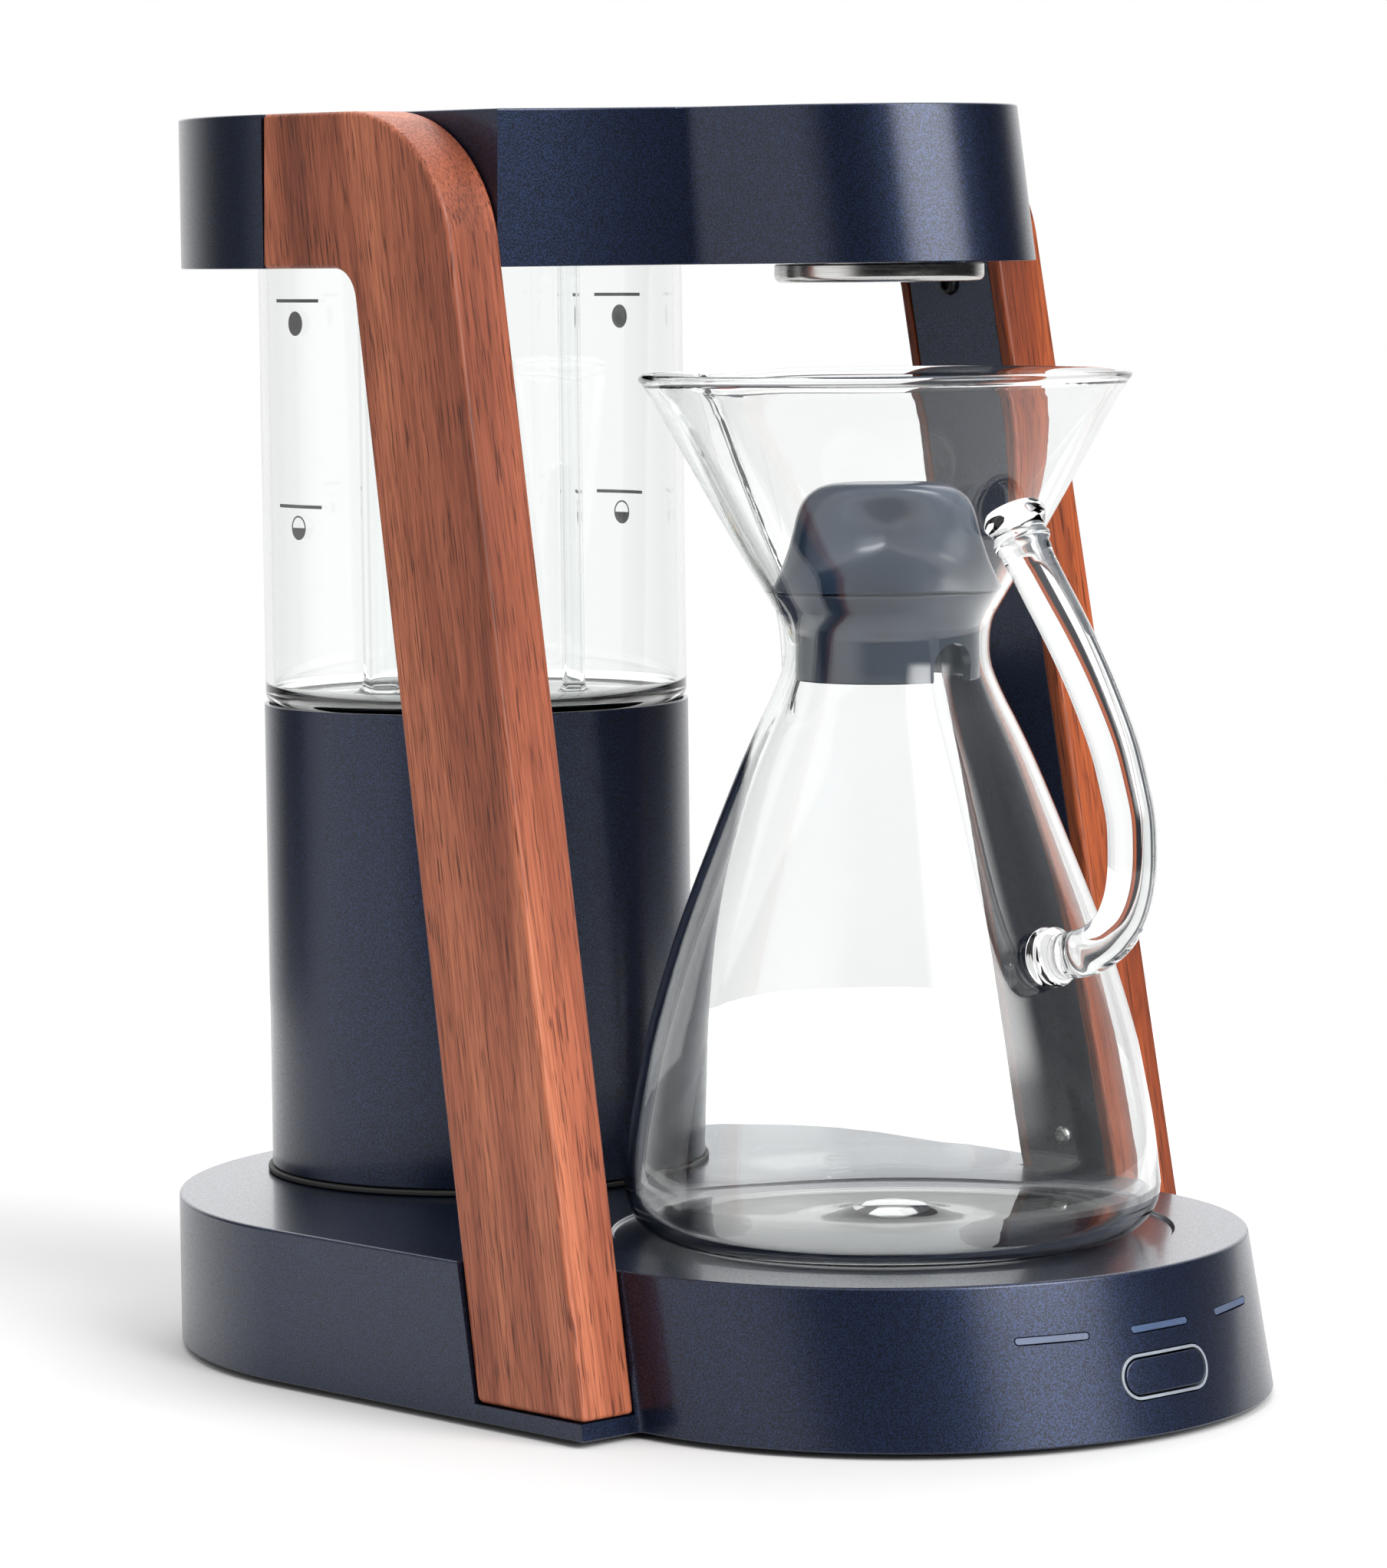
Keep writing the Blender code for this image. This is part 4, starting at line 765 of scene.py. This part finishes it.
def make_controls(looks):
    ring = button_prism("ring_outline", pill(*RING_SIZE, 24), -4, 3.6, looks["ring"])
    conform(ring, 0.25)
    combine(ring, button_prism("ring_bore", pill(*RING_BORE, 24), -6, 6))
    bevelled(ring, 0.16, 2)
    even_normals(ring)
    show(ring, "machine", "button_ring", slot="ring_metal")
    button = button_prism("button_face", pill(*BUTTON_SIZE, 24), -4, 4.5, looks["paint"])
    conform(button, 0.3)
    bevelled(button, 0.45, 3)
    even_normals(button)
    show(button, "button", "brew_button", slot="paint")
    for number, angle in enumerate(LAMP_ANGLES, 1):
        name = f"lamp_lens_{number}"
        bar = lamp_solid(name, angle, FRONT_RADIUS + 0.05, 5, 0.0, looks["lamp"])
        bevelled(bar, 0.15, 2)
        even_normals(bar)
        show(bar, "machine", f"light_bar_{number}", slot="lamp")


# Tower and tank


def make_tower(looks):
    place = (0, TOWER_Y)
    low, high = TOWER_LOW.z, TOWER_HIGH.z
    inner = TOWER_RADIUS - 1.5
    walls = [(TOWER_RADIUS, high), (TOWER_RADIUS, low), (inner, low), (inner, high)]
    shell = soft_profile(walls, 0.5)
    tower = turned("tower_casing", shell, place, looks["paint"], 192)
    even_normals(tower)
    show(tower, "machine", "tower_shell", slot="paint")
    low, high = BASE_TOP + 0.3, low - 0.3
    outer = TOWER_RADIUS + 1.3
    inner = outer - 6
    foot = soft_profile([(outer, high), (outer, low), (inner, low), (inner, high)], 0.5)
    ring = turned("tower_foot_trim", foot, place, looks["rubber"], 160)
    even_normals(ring)
    show(ring, "machine", "tower_foot_ring", slot="rubber")


def make_tank(looks):
    place = (0, TOWER_Y)
    inside = TANK_RADIUS - TANK_WALL
    floor = TANK_BOTTOM + TANK_WALL
    outer = arc((TANK_RADIUS - 4.0, TANK_BOTTOM + 4.0), 4.0, 0, -90, 12)
    inner = arc((inside - 4.3, floor + 4.3), 4.3, -90, 0, 12)
    lip = arc((inside + TANK_WALL / 2, TANK_TOP - TANK_WALL / 2), TANK_WALL / 2, 180, 0, 8)
    profile = [(0.001, floor), *inner, *lip, *outer, (0.001, TANK_BOTTOM)]
    tank = turned("tank_jar", profile, place, looks["glass"], 160, 40)
    even_normals(tank)
    show(tank, "machine", "tank_glass", slot="glass")
    foot = floor + 0.15
    for name, low, high, outer, bore, flare, node in (
        ("riser_pipe", RISER_LOW, RISER_HIGH, 6.6, 4.0, 9.7, "riser_tube"),
        ("vent_pipe", VENT_LOW, VENT_HIGH, 3.4, 2.3, 5.2, "vent_tube"),
    ):
        spot = ((low.x + high.x) / 2, (low.y + high.y) / 2)
        tall = (flare - outer) * 1.35
        curve = []
        for degrees in (90, 70, 50, 30, 15, 0):
            a = radians(degrees)
            curve.append((outer + (flare - outer) * (1 - sin(a)), foot + tall * (1 - cos(a)) + 0.5))
        profile = [
            (outer, high.z), *curve, (flare, foot), (outer, foot), (bore, foot), (bore, high.z),
        ]
        tube = turned(name, profile, spot, looks["glass"], 48, 40)
        even_normals(tube)
        show(tube, "machine", node, slot="glass")
    make_marks(looks["print"])


def patch(name, outline, angle, along, height, look):
    """A thin printed shape wrapped on the tank; outline is across and up from its middle."""
    rings = []
    for lift in (0.03, 0.1):
        radius = TANK_RADIUS + lift
        ring = []
        for across, up in outline:
            turn = radians(angle) + (across + along) / TANK_RADIUS
            ring.append((radius * cos(turn), TOWER_Y + radius * sin(turn), height + up))
        rings.append(ring)
    show(loft(name, rings, look, True, 40), "machine", slot="charcoal")


def circle(radius, steps=40, start=0.0, end=360.0):
    return [
        (radius * cos(radians(start + (end - start) * step / steps)),
         radius * sin(radians(start + (end - start) * step / steps)))
        for step in range(steps + (end - start < 360))
    ]


def make_marks(ink):
    """A full mark and a half mark on each side of the tank."""
    half = MARK_HALF_LENGTH
    steps = [-half + 2 * half * step / 10 for step in range(11)]
    bar = [(across, -0.5) for across in steps] + [(across, 0.5) for across in steps[::-1]]
    disc = circle(MARK_RADIUS)
    rim = circle(MARK_RADIUS, 40, 0, 359.9) + circle(MARK_RADIUS - 0.5, 40, 359.9, 0)
    fill = circle(MARK_RADIUS - 0.4, 24, 180, 360)
    for side, angle, along in (("left", 180.0, -5.9), ("right", 0.0, 1.0)):
        bar_z, disc_z = FULL_HEIGHTS
        patch(f"full_bar_{side}", bar, angle, along, bar_z, ink)
        patch(f"full_disc_{side}", disc, angle, along, disc_z, ink)
        bar_z, disc_z = HALF_HEIGHTS
        patch(f"half_bar_{side}", bar, angle, along, bar_z, ink)
        patch(f"half_ring_{side}", rim, angle, along, disc_z, ink)
        patch(f"half_fill_{side}", fill, angle, along, disc_z, ink)


# Arms


def arm_outline():
    def front(height):
        return ARM_FRONT_Y + ARM_LEAN * height

    def rear(height):
        return ARM_REAR_Y + ARM_LEAN * height

    corner_y, corner_z, corner_radius = ARM_CORNER
    lean = atan2(ARM_LEAN, 1)
    toe = 2.5
    middle_z = ARM_UNDERSIDE - ARM_FILLET
    middle_y = rear(middle_z) + ARM_FILLET / cos(lean)
    outline = [(front(ARM_BOTTOM), ARM_BOTTOM)]
    outline += arc((rear(ARM_BOTTOM + toe) - toe, ARM_BOTTOM + toe), toe, -90, 0, 8)
    outline += arc((middle_y, middle_z), ARM_FILLET, 180 - lean * 180 / pi, 90, 16)
    outline += [(ARM_SEAM_Y, ARM_UNDERSIDE), (ARM_SEAM_Y, HOUSING_TOP)]
    outline += arc((corner_y, corner_z), corner_radius, 90, 180 - lean * 180 / pi, 40)
    return outline


def upright(name, outline, side, outer_x, inner_x, look=None):
    """A side-view outline made solid between two distances from the middle plane."""
    rings = []
    for reach in (inner_x, outer_x):
        ring = [(side * (reach - ARM_INWARD_LEAN * up), along, up) for along, up in outline]
        rings.append(ring)
    return loft(name, rings, look)


def plate_strip(margin):
    low, high = ARM_PLATE_SPAN[0] - margin, ARM_PLATE_SPAN[1] + margin
    front = ARM_FRONT_Y + ARM_PLATE_FRONT - margin
    rear = ARM_FRONT_Y + ARM_PLATE_FRONT + ARM_PLATE_WIDTH + margin
    return [
        (front + ARM_LEAN * low, low), (rear + ARM_LEAN * low, low),
        (rear + ARM_LEAN * high, high), (front + ARM_LEAN * high, high),
    ]


def make_arms(looks):
    for side, word in ((-1, "left"), (1, "right")):
        # The right arm takes the darker, redder walnut copy, with the far arm's shade and warm
        # backlight painted into its colour.
        arm = upright(f"wood_arm_{word}", arm_outline(), side, ARM_OUTER_X, ARM_INNER_X,
                      looks[f"walnut_{word}"])
        bevelled(arm, ARM_EDGE, 4)
        pocket = upright("pocket", plate_strip(0.5), side, ARM_INNER_X + 3.7, ARM_INNER_X - 2)
        combine(arm, pocket)
        even_normals(arm)
        show(arm, "machine", f"arm_{word}", slot="walnut")
        plate = upright(f"inlay_{word}", plate_strip(0), side, ARM_INNER_X + 3.4, ARM_INNER_X + 0.4,
                        looks["paint"])
        bevelled(plate, 0.3, 2)
        even_normals(plate)
        show(plate, "machine", f"arm_plate_{word}", slot="paint")
        for level, look in (("lower", "steel"), ("upper", "black_steel")):
            make_screw(side, word, level, looks[look], look)


def make_screw(side, word, level, look, slot):
    """A button-head screw with a hexagonal socket."""
    node = f"arm_screw_{level}_{word}"
    low, high = box_mm(node)
    along, up = (low.y + high.y) / 2, (low.z + high.z) / 2
    face = min(abs(low.x), abs(high.x))
    dome = [(3.12, 0.0), (3.12, 0.6), (2.95, 1.2), (2.55, 1.7), (2.1, 1.95), (1.9, 2.0)]
    head = [(0.001, 0.0), *dome, (0.001, 2.0)]
    screw = turned(f"screw_{level}_{word}", head, (0, 0), look, 48, 35)
    hexagon = arc((0, 0), 1.75, 0, 300, 5)
    combine(screw, prism("socket", hexagon, 0.5, 3.0))
    screw.data.transform(Matrix.Rotation(-side * pi / 2, 4, "Y"))
    screw.location = Vector((side * (face + 2.0), along, up)) * MM
    even_normals(screw)
    show(screw, "machine", node, slot="steel" if slot == "steel" else "plate_metal")


# Housing


def housing_outline(height):
    """The keyhole plan: only the nose leans, and the shoulders stand upright."""
    lean = HOUSING_LEAN * (height - HOUSING_MIDDLE)
    side = ARM_INNER_X - ARM_INWARD_LEAN * height - GAP
    shoulder = bow((-side, SHOULDER_START_Y), SHOULDER_END, SHOULDER_BOW, 20)
    neck = bow(SHOULDER_END, NECK_START, NECK_BOW, 8)
    nose = arc((0, NOSE_CENTRE_Y), NOSE_RADIUS, 188, 270, 48)
    left = [
        (across, along + lean * min(max((across - SHOULDER_END[0]) / 6, 0), 1))
        for across, along in shoulder + neck[1:] + nose
    ]
    right = [(-across, along) for across, along in left[-2::-1]]
    seam = ARM_SEAM_Y + GAP
    turn = (seam - HOUSING_REAR_CENTRE_Y) / HOUSING_REAR_RADIUS * 180 / pi
    rear = arc((0, HOUSING_REAR_CENTRE_Y), HOUSING_REAR_RADIUS, turn, 180 - turn, 120)
    return rear + [(-side, seam)] + left + right + [(side, seam)]


def make_housing(looks):
    low, high, edge = HOUSING_BOTTOM, HOUSING_TOP, HOUSING_EDGE
    ceiling = high - HOUSING_WALL
    rings = [
        at_height(inset(housing_outline(ceiling), HOUSING_WALL), ceiling),
        at_height(inset(housing_outline(low), HOUSING_WALL), low),
        at_height(inset(housing_outline(low), 0.4), low),
        at_height(inset(housing_outline(low + 0.1), 0.12), low + 0.12),
        at_height(housing_outline(low + 0.4), low + 0.4),
        at_height(housing_outline(high - edge), high - edge),
    ]
    for step in range(1, 4):
        turn = radians(30 * step)
        height = high - edge + edge * sin(turn)
        rings.append(at_height(inset(housing_outline(height), edge * (1 - cos(turn))), height))
    housing = loft("top_casing", rings, looks["paint"])
    place = (0, TOWER_Y)
    outer = LID_RADIUS + 3
    collar = [(0.001, 352), (outer, 352), (outer, high - 1), (0.001, high - 1)]
    combine(housing, turned("collar", collar, place, None, 96), "UNION")
    seat = [
        (0.001, 340), (FILL_RADIUS, 340), (FILL_RADIUS, high - 2.5), (LID_RADIUS + 0.5, high - 2.5),
        (LID_RADIUS + 0.5, high - 0.3), (LID_RADIUS + 0.8, high), (LID_RADIUS + 0.8, high + 2),
        (0.001, high + 2),
    ]
    combine(housing, turned("seat", seat, place, None, 160))
    even_normals(housing)
    show(housing, "machine", "top_housing", slot="paint")
    make_cover(looks)
    make_lid(looks)


def make_cover(looks):
    low = HOUSING_BOTTOM + 0.3
    rings = [at_height(inset(housing_outline(z), 2.8), z) for z in (low, low + 2.7)]
    cover = loft("underside_cover", rings, looks["paint"])
    for radius, along, steps in ((TANK_RADIUS + 0.5, TOWER_Y, 160), (24.6, SHOWER_Y, 96)):
        hole = [(0.001, low - 3), (radius, low - 3), (radius, low + 6), (0.001, low + 6)]
        combine(cover, turned("hole", hole, (0, along), None, steps))
    even_normals(cover)
    show(cover, "machine", "housing_cover", slot="paint")


def make_lid(looks):
    place = (0, TOWER_Y)
    high = HOUSING_TOP
    skirt = FILL_RADIUS - 3.6
    edge = arc((LID_RADIUS - 0.8, high - 0.8), 0.8, 90, 0, 5)
    dish = [
        (0.001, high - 1.6), (15.0, high - 1.5), (24.0, high - 1.1), (33.0, high - 0.35),
        (38.0, high),
    ]
    profile = dish + edge + [
        (LID_RADIUS, high - 2.2), (skirt, high - 2.2), (skirt, SKIRT_BOTTOM),
        (skirt - 2, SKIRT_BOTTOM), (skirt - 2, high - 4.0), (0.001, high - 4.0),
    ]
    lid = turned("lid_disc", profile, place, looks["paint"], 160)
    grip = prism("lid_grip", pill(40, 7.0), 0, 5.0, looks["paint"])
    grip.location = Vector((0, TOWER_Y, high - 5.0)) * MM
    bevelled(grip, 0.8, 3)
    combine(lid, grip, "UNION")
    even_normals(lid)
    show(lid, "lid", "tank_lid", slot="paint")


def make_shower(looks):
    low = SHOWER_LOW.z
    top = HOUSING_BOTTOM - 0.3
    radius = SHOWER_RADIUS
    edge = arc((radius - 2.0, low + 2.0), 2.0, 0, -90, 10)
    profile = [
        (0.001, low + 1.5), (22, low + 1.5), (22, SHOWER_HIGH.z - 2), (3.2, SHOWER_HIGH.z - 2),
        (3.2, SHOWER_HIGH.z), (24, SHOWER_HIGH.z), (24, top), (radius - 0.4, top), (radius, top - 0.4),
        *edge, (23.5, low), (23.1, low + 0.5), (0.001, low + 0.5),
    ]
    head = turned("shower_rose", profile, (0, SHOWER_Y), looks["spun_steel"], 128)
    jet = [(0.001, low - 1), (0.9, low - 1), (0.9, low + 3), (0.001, low + 3)]
    for circle_radius, count in ((0.001, 1), (7.0, 6), (14.0, 12), (20.0, 16)):
        for number in range(count):
            turn = 2 * pi * number / count + 0.13
            spot = (circle_radius * cos(turn), SHOWER_Y + circle_radius * sin(turn))
            combine(head, turned("jet", jet, spot, None, 16))
    even_normals(head)
    show(head, "machine", "shower_head", slot="steel")


# Carafe


def carafe_radius(height):
    centre = CARAFE_BOTTOM + CARAFE_CORNER
    if height < centre:
        drop = centre - height
        return CARAFE_FLAT + sqrt(max(CARAFE_CORNER ** 2 - drop ** 2, 0))
    return between(CARAFE_SIDE, height)


def slope_of(rule, height):
    return rule(min(height + 0.5, CARAFE_RIM)) - rule(height - 0.5)


def groove_reach(height):
    if height < GROOVE_REACH[0][0]:
        return 0.0
    return between(GROOVE_REACH, height)


def carafe_angles():
    fine = [-32 + 1.6 * step for step in range(41)]
    coarse = [32 + 296 * step / 62 for step in range(1, 62)]
    return [radians(angle) for angle in fine + coarse]


def soft_max(first, second, blend=1.6):
    """The larger of two radii, with a small fillet where they meet."""
    reach = max(blend - abs(first - second), 0) / blend
    return max(first, second) + reach * reach * blend / 4


def carafe_ring(height, wall, scale=1.0, drop=0.0):
    """One ring of the glass; wall moves it inward, square to the surface."""
    steep = slope_of(carafe_radius, height) if height > 60 else 0.0
    radius = carafe_radius(height) - wall * sqrt(1 + steep * steep)
    half = GROOVE_HALF_WIDTH - wall
    reach = groove_reach(height)
    if reach:
        fall = slope_of(groove_reach, height) if height > 178 else 0.0
        reach -= wall * sqrt(1 + fall * fall)
    ring = []
    for angle in carafe_angles():
        out = radius
        inside = half * half - ((reach - half) * sin(angle)) ** 2
        if reach and inside > 0 and cos(angle) > 0:
            out = soft_max(radius, (reach - half) * cos(angle) + sqrt(inside))
        across, along = out * sin(angle) * scale, out * cos(angle) * scale
        dip = drop * max(cos(angle), 0) ** 40
        ring.append((across, CARAFE_Y + along, height - dip))
    return ring


def flat_ring(radius, height):
    return [
        (radius * sin(angle), CARAFE_Y + radius * cos(angle), height) for angle in carafe_angles()
    ]


def carafe_rings(outset=0.0):
    """Outer rings from the middle of the bottom to the rim."""
    rings = [flat_ring(radius, CARAFE_BOTTOM + lift) for radius, lift in (
        (0.4, 2.6), (8, 2.5), (20, 2.0), (34, 1.1), (46, 0.35), (54, 0.04),
    )]
    for degrees in range(0, 90, 9):
        height = CARAFE_BOTTOM + CARAFE_CORNER * (1 - cos(radians(degrees)))
        rings.append(carafe_ring(max(height, CARAFE_BOTTOM + 0.001), -outset))
    height = CARAFE_BOTTOM + CARAFE_CORNER
    while height < CARAFE_RIM - 3.0:
        rings.append(carafe_ring(height, -outset, 1.0, rim_dip(height)))
        height += 2.4 if 180 < height < 250 else 5.0
    return rings


def rim_dip(height):
    """The rim falls a little at the groove, which fades out below."""
    share = min(max((height - 262) / 26, 0), 1)
    return 1.7 * share * share


def make_carafe(looks):
    """One glass wall: outside up to a beaded rim, then inside down to a raised middle."""
    rings = carafe_rings()
    lip = CARAFE_RIM - 1.5
    for degrees in (-50, -20, 10, 40, 70, 100, 130, 160, 190, 220):
        bead = carafe_ring(lip, 1.1 - 1.75 * cos(radians(degrees)), 1.0, rim_dip(lip))
        rise = 1.5 * sin(radians(degrees))
        rings.append([(x, y, z + rise) for x, y, z in bead])
    inner = []
    floor = CARAFE_BOTTOM + CARAFE_FLOOR
    height = CARAFE_RIM - 4.5
    while height > floor + 16:
        inner.append(carafe_ring(height, GLASS, 1.0, rim_dip(height)))
        height -= 2.4 if 180 < height < 250 else 5.0
    wall = carafe_radius(floor + CARAFE_CORNER) - GLASS
    middle = (wall - INNER_CORNER, floor + INNER_CORNER)
    for x, z in arc(middle, INNER_CORNER, 0, -90, 10):
        inner.append(flat_ring(x, z))
    for radius, lift in ((48, 0.1), (32, 0.3), (22, 0.7), (17, 1.2), (13.5, 2.1), (10.5, 3.4),
                         (7.5, 4.5), (4, 5.0), (0.4, 5.1)):
        inner.append(flat_ring(radius, floor + lift))
    body = loft("carafe_vessel", rings + inner, looks["glass"], True, 60)
    show(body, "carafe", "carafe_body", slot="glass")
    make_handle(looks)


def make_handle(looks):
    """A solid glass rod with fused collars where it meets the carafe."""
    path = smooth_path([(0, along, up) for along, up in HANDLE_PATH], 6)
    radii = []
    travelled = [0.0]
    for before, after in zip(path, path[1:]):
        travelled.append(travelled[-1] + (after - before).length)
    for done in travelled:
        left = travelled[-1] - done
        upper = 2.2 * bulge(done, 2.5, 3.4) + 1.5 * bulge(done, 9.2, 1.7)
        lower = 1.9 * bulge(left, 2.0, 1.6) + 1.5 * bulge(left, 5.4, 1.2)
        waist = 0.5 * bulge(done, 13.5, 1.3) - 0.5 * bulge(left, 9.5, 2.0)
        radii.append(HANDLE_RADIUS + upper + lower + waist)
    handle = swept("carafe_grip_rod", path, radii, looks["glass"], 48)
    skin = carafe_rings(0.04) + [carafe_ring(CARAFE_RIM, -0.04)]
    combine(handle, loft("glass_skin", skin))
    handle.data.shade_smooth()
    handle.data.set_sharp_from_angle(angle=radians(50))
    show(handle, "carafe", "carafe_handle", slot="glass")


def bulge(distance, middle, width):
    """A smooth bump along a length, 1 at its middle."""
    return 2.718 ** (-((distance - middle) / width) ** 2)


def grip_ring(radius, height):
    """One ring of the stopper's grip, hollowed on two sides for a thumb and finger."""
    hollow = max(1 - ((height - HOLLOW_Z) / HOLLOW_REACH) ** 2, 0.0) ** 1.3
    ring = []
    for step, turn in enumerate(full_turn(GRIP_STEPS)):
        away = (turn - GRIP_TURN) % pi
        away = min(away, pi - away)
        side = max(1 - (away / radians(HOLLOW_SPREAD)) ** 2, 0.0) ** 1.5
        dent = HOLLOW_DEPTH * hollow * side
        mould_line = 0.006 if step % (GRIP_STEPS // 2) == 53 else 0.0
        out = radius * (1 - dent + mould_line)
        ring.append((out * cos(turn), CARAFE_Y + out * sin(turn), height))
    return ring


def make_stopper(looks):
    place = (0, CARAFE_Y)
    low, high = GRIP_LOW.z, GRIP_HIGH.z
    profile = [
        (0.4, high), (5.0, high), (12.0, high - 0.1), (16.0, high - 0.5), (19.4, high - 1.7),
        (22.2, high - 3.8), (24.0, high - 6.5), (25.1, high - 9.5), (25.8, high - 12.5),
        (26.6, high - 15.5), (27.8, high - 19.5), (29.2, high - 23.5), (30.6, high - 26.6),
        (31.5, low + 1.4), (31.8, low + 0.5), (31.6, low), (15.0, low), (0.4, low),
    ]
    outline = smooth_path([(radius, 0, height) for radius, height in profile], 3)
    rings = [grip_ring(max(point.x, 0.4), point.z) for point in outline]
    grip = loft("stopper_cap", rings, looks["charcoal"], True, 40)
    show(grip, "stopper", "stopper_grip", slot="charcoal")
    top, bottom = PLUG_HIGH.z, PLUG_LOW.z
    profile = [
        (0.001, top), (31.0, top), (31.4, top - 0.3), (31.2, top - 1.2), (29.0, top - 3.9),
        (27.2, top - 6.9), (26.0, top - 10.0), (25.9, top - 11.0), (25.9, bottom + 0.4),
        (25.5, bottom), (23.8, bottom), (23.4, bottom + 0.4), (23.4, 214.0), (22.0, 219.0),
        (0.001, 221.0),
    ]
    plug = turned("stopper_skirt", profile, place, looks["charcoal"], 128)
    arch = [(-ARCH_RADIUS, -10), (ARCH_RADIUS, -10)] + arc((0, 0), ARCH_RADIUS, 0, 180, 24)
    cutter = prism("arch", arch, -60, 60)
    place = Matrix.Translation(Vector((0, CARAFE_Y, ARCH_Z)) * MM)
    cutter.data.transform(place @ Matrix.Rotation(pi / 2, 4, "X"))
    combine(plug, cutter)
    even_normals(plug)
    show(plug, "stopper", "stopper_plug", slot="charcoal")


def carry_over(looks):
    """Procedural finishes on the CAD nodes that stay as they are."""
    by_slot = {
        "paint": "paint", "plate_metal": "black_steel", "rubber": "rubber", "steel": "steel",
        "cast_metal": "cast", "brass": "brass", "charcoal": "charcoal", "silicone": "silicone",
        "wire": "wire", "circuit": "circuit", "glass": "glass", "walnut": "walnut_left",
        "lamp": "lamp", "ring_metal": "ring",
    }
    for part in frame["record"]["subparts"]:
        node = NODES[part["node"]]
        look = looks[by_slot[part["material_slot"]]]
        for index in range(len(node.material_slots)):
            node.material_slots[index].material = look


def make_looks():
    return {
        "paint": navy_paint(),
        "walnut_left": walnut("walnut_left", (0.3, 0.1, 0.0), (0.38, 0.125, 0.064),
                              (0.25, 0.07, 0.035), (0.12, 0.03, 0.013)),
        # The right arm's walnut is a darker, redder copy of the same wood: painted shade and painted
        # warm backlight for the far arm.
        "walnut_right": walnut("walnut_right", (0.9, 0.4, 0.2), (0.3, 0.068, 0.019),
                               (0.18, 0.036, 0.01), (0.06, 0.011, 0.004)),
        "glass": glass("clear_glass", (0.99, 0.998, 0.995), (0.978, 0.992, 0.986)),
        "charcoal": moulded("charcoal_plastic", (0.034, 0.054, 0.09), 0.2),
        "rubber": moulded("black_rubber", (0.012, 0.012, 0.012), 0.6),
        "silicone": moulded("silicone", (0.7, 0.7, 0.68), 0.5),
        "wire": moulded("wire_sleeve", (0.04, 0.04, 0.04), 0.55, 3000.0, 0.0002),
        "circuit": moulded("circuit_board", (0.015, 0.12, 0.05), 0.35, 500.0),
        "lamp": moulded("lamp_lens", (0.055, 0.08, 0.145), 0.22, 900.0, 0.00002),
        "print": moulded("printed_ink", (0.12, 0.12, 0.12), 0.5),
        "steel": metal("brushed_steel", (0.62, 0.61, 0.6), 0.26),
        "spun_steel": metal("spun_steel", (0.62, 0.61, 0.6), 0.22, (1, 1, 80), 60.0),
        "black_steel": metal("black_steel", (0.03, 0.03, 0.032), 0.4),
        "cast": metal("cast_aluminium", (0.6, 0.6, 0.61), 0.45, (1, 1, 1), 900.0),
        "brass": metal("machined_brass", (0.72, 0.5, 0.2), 0.3),
        "ring": moulded("satin_ring", (0.2, 0.225, 0.26), 0.3, 400.0, 0.00001),
    }


def main():
    bpy.context.scene.view_settings.view_transform = "Standard"
    add_camera()
    add_light()
    add_floor()
    looks = make_looks()
    carry_over(looks)
    make_base(looks["paint"])
    make_controls(looks)
    make_tower(looks)
    make_tank(looks)
    make_arms(looks)
    make_housing(looks)
    make_shower(looks)
    make_carafe(looks)
    make_stopper(looks)
    bpy.context.view_layer.update()


main()
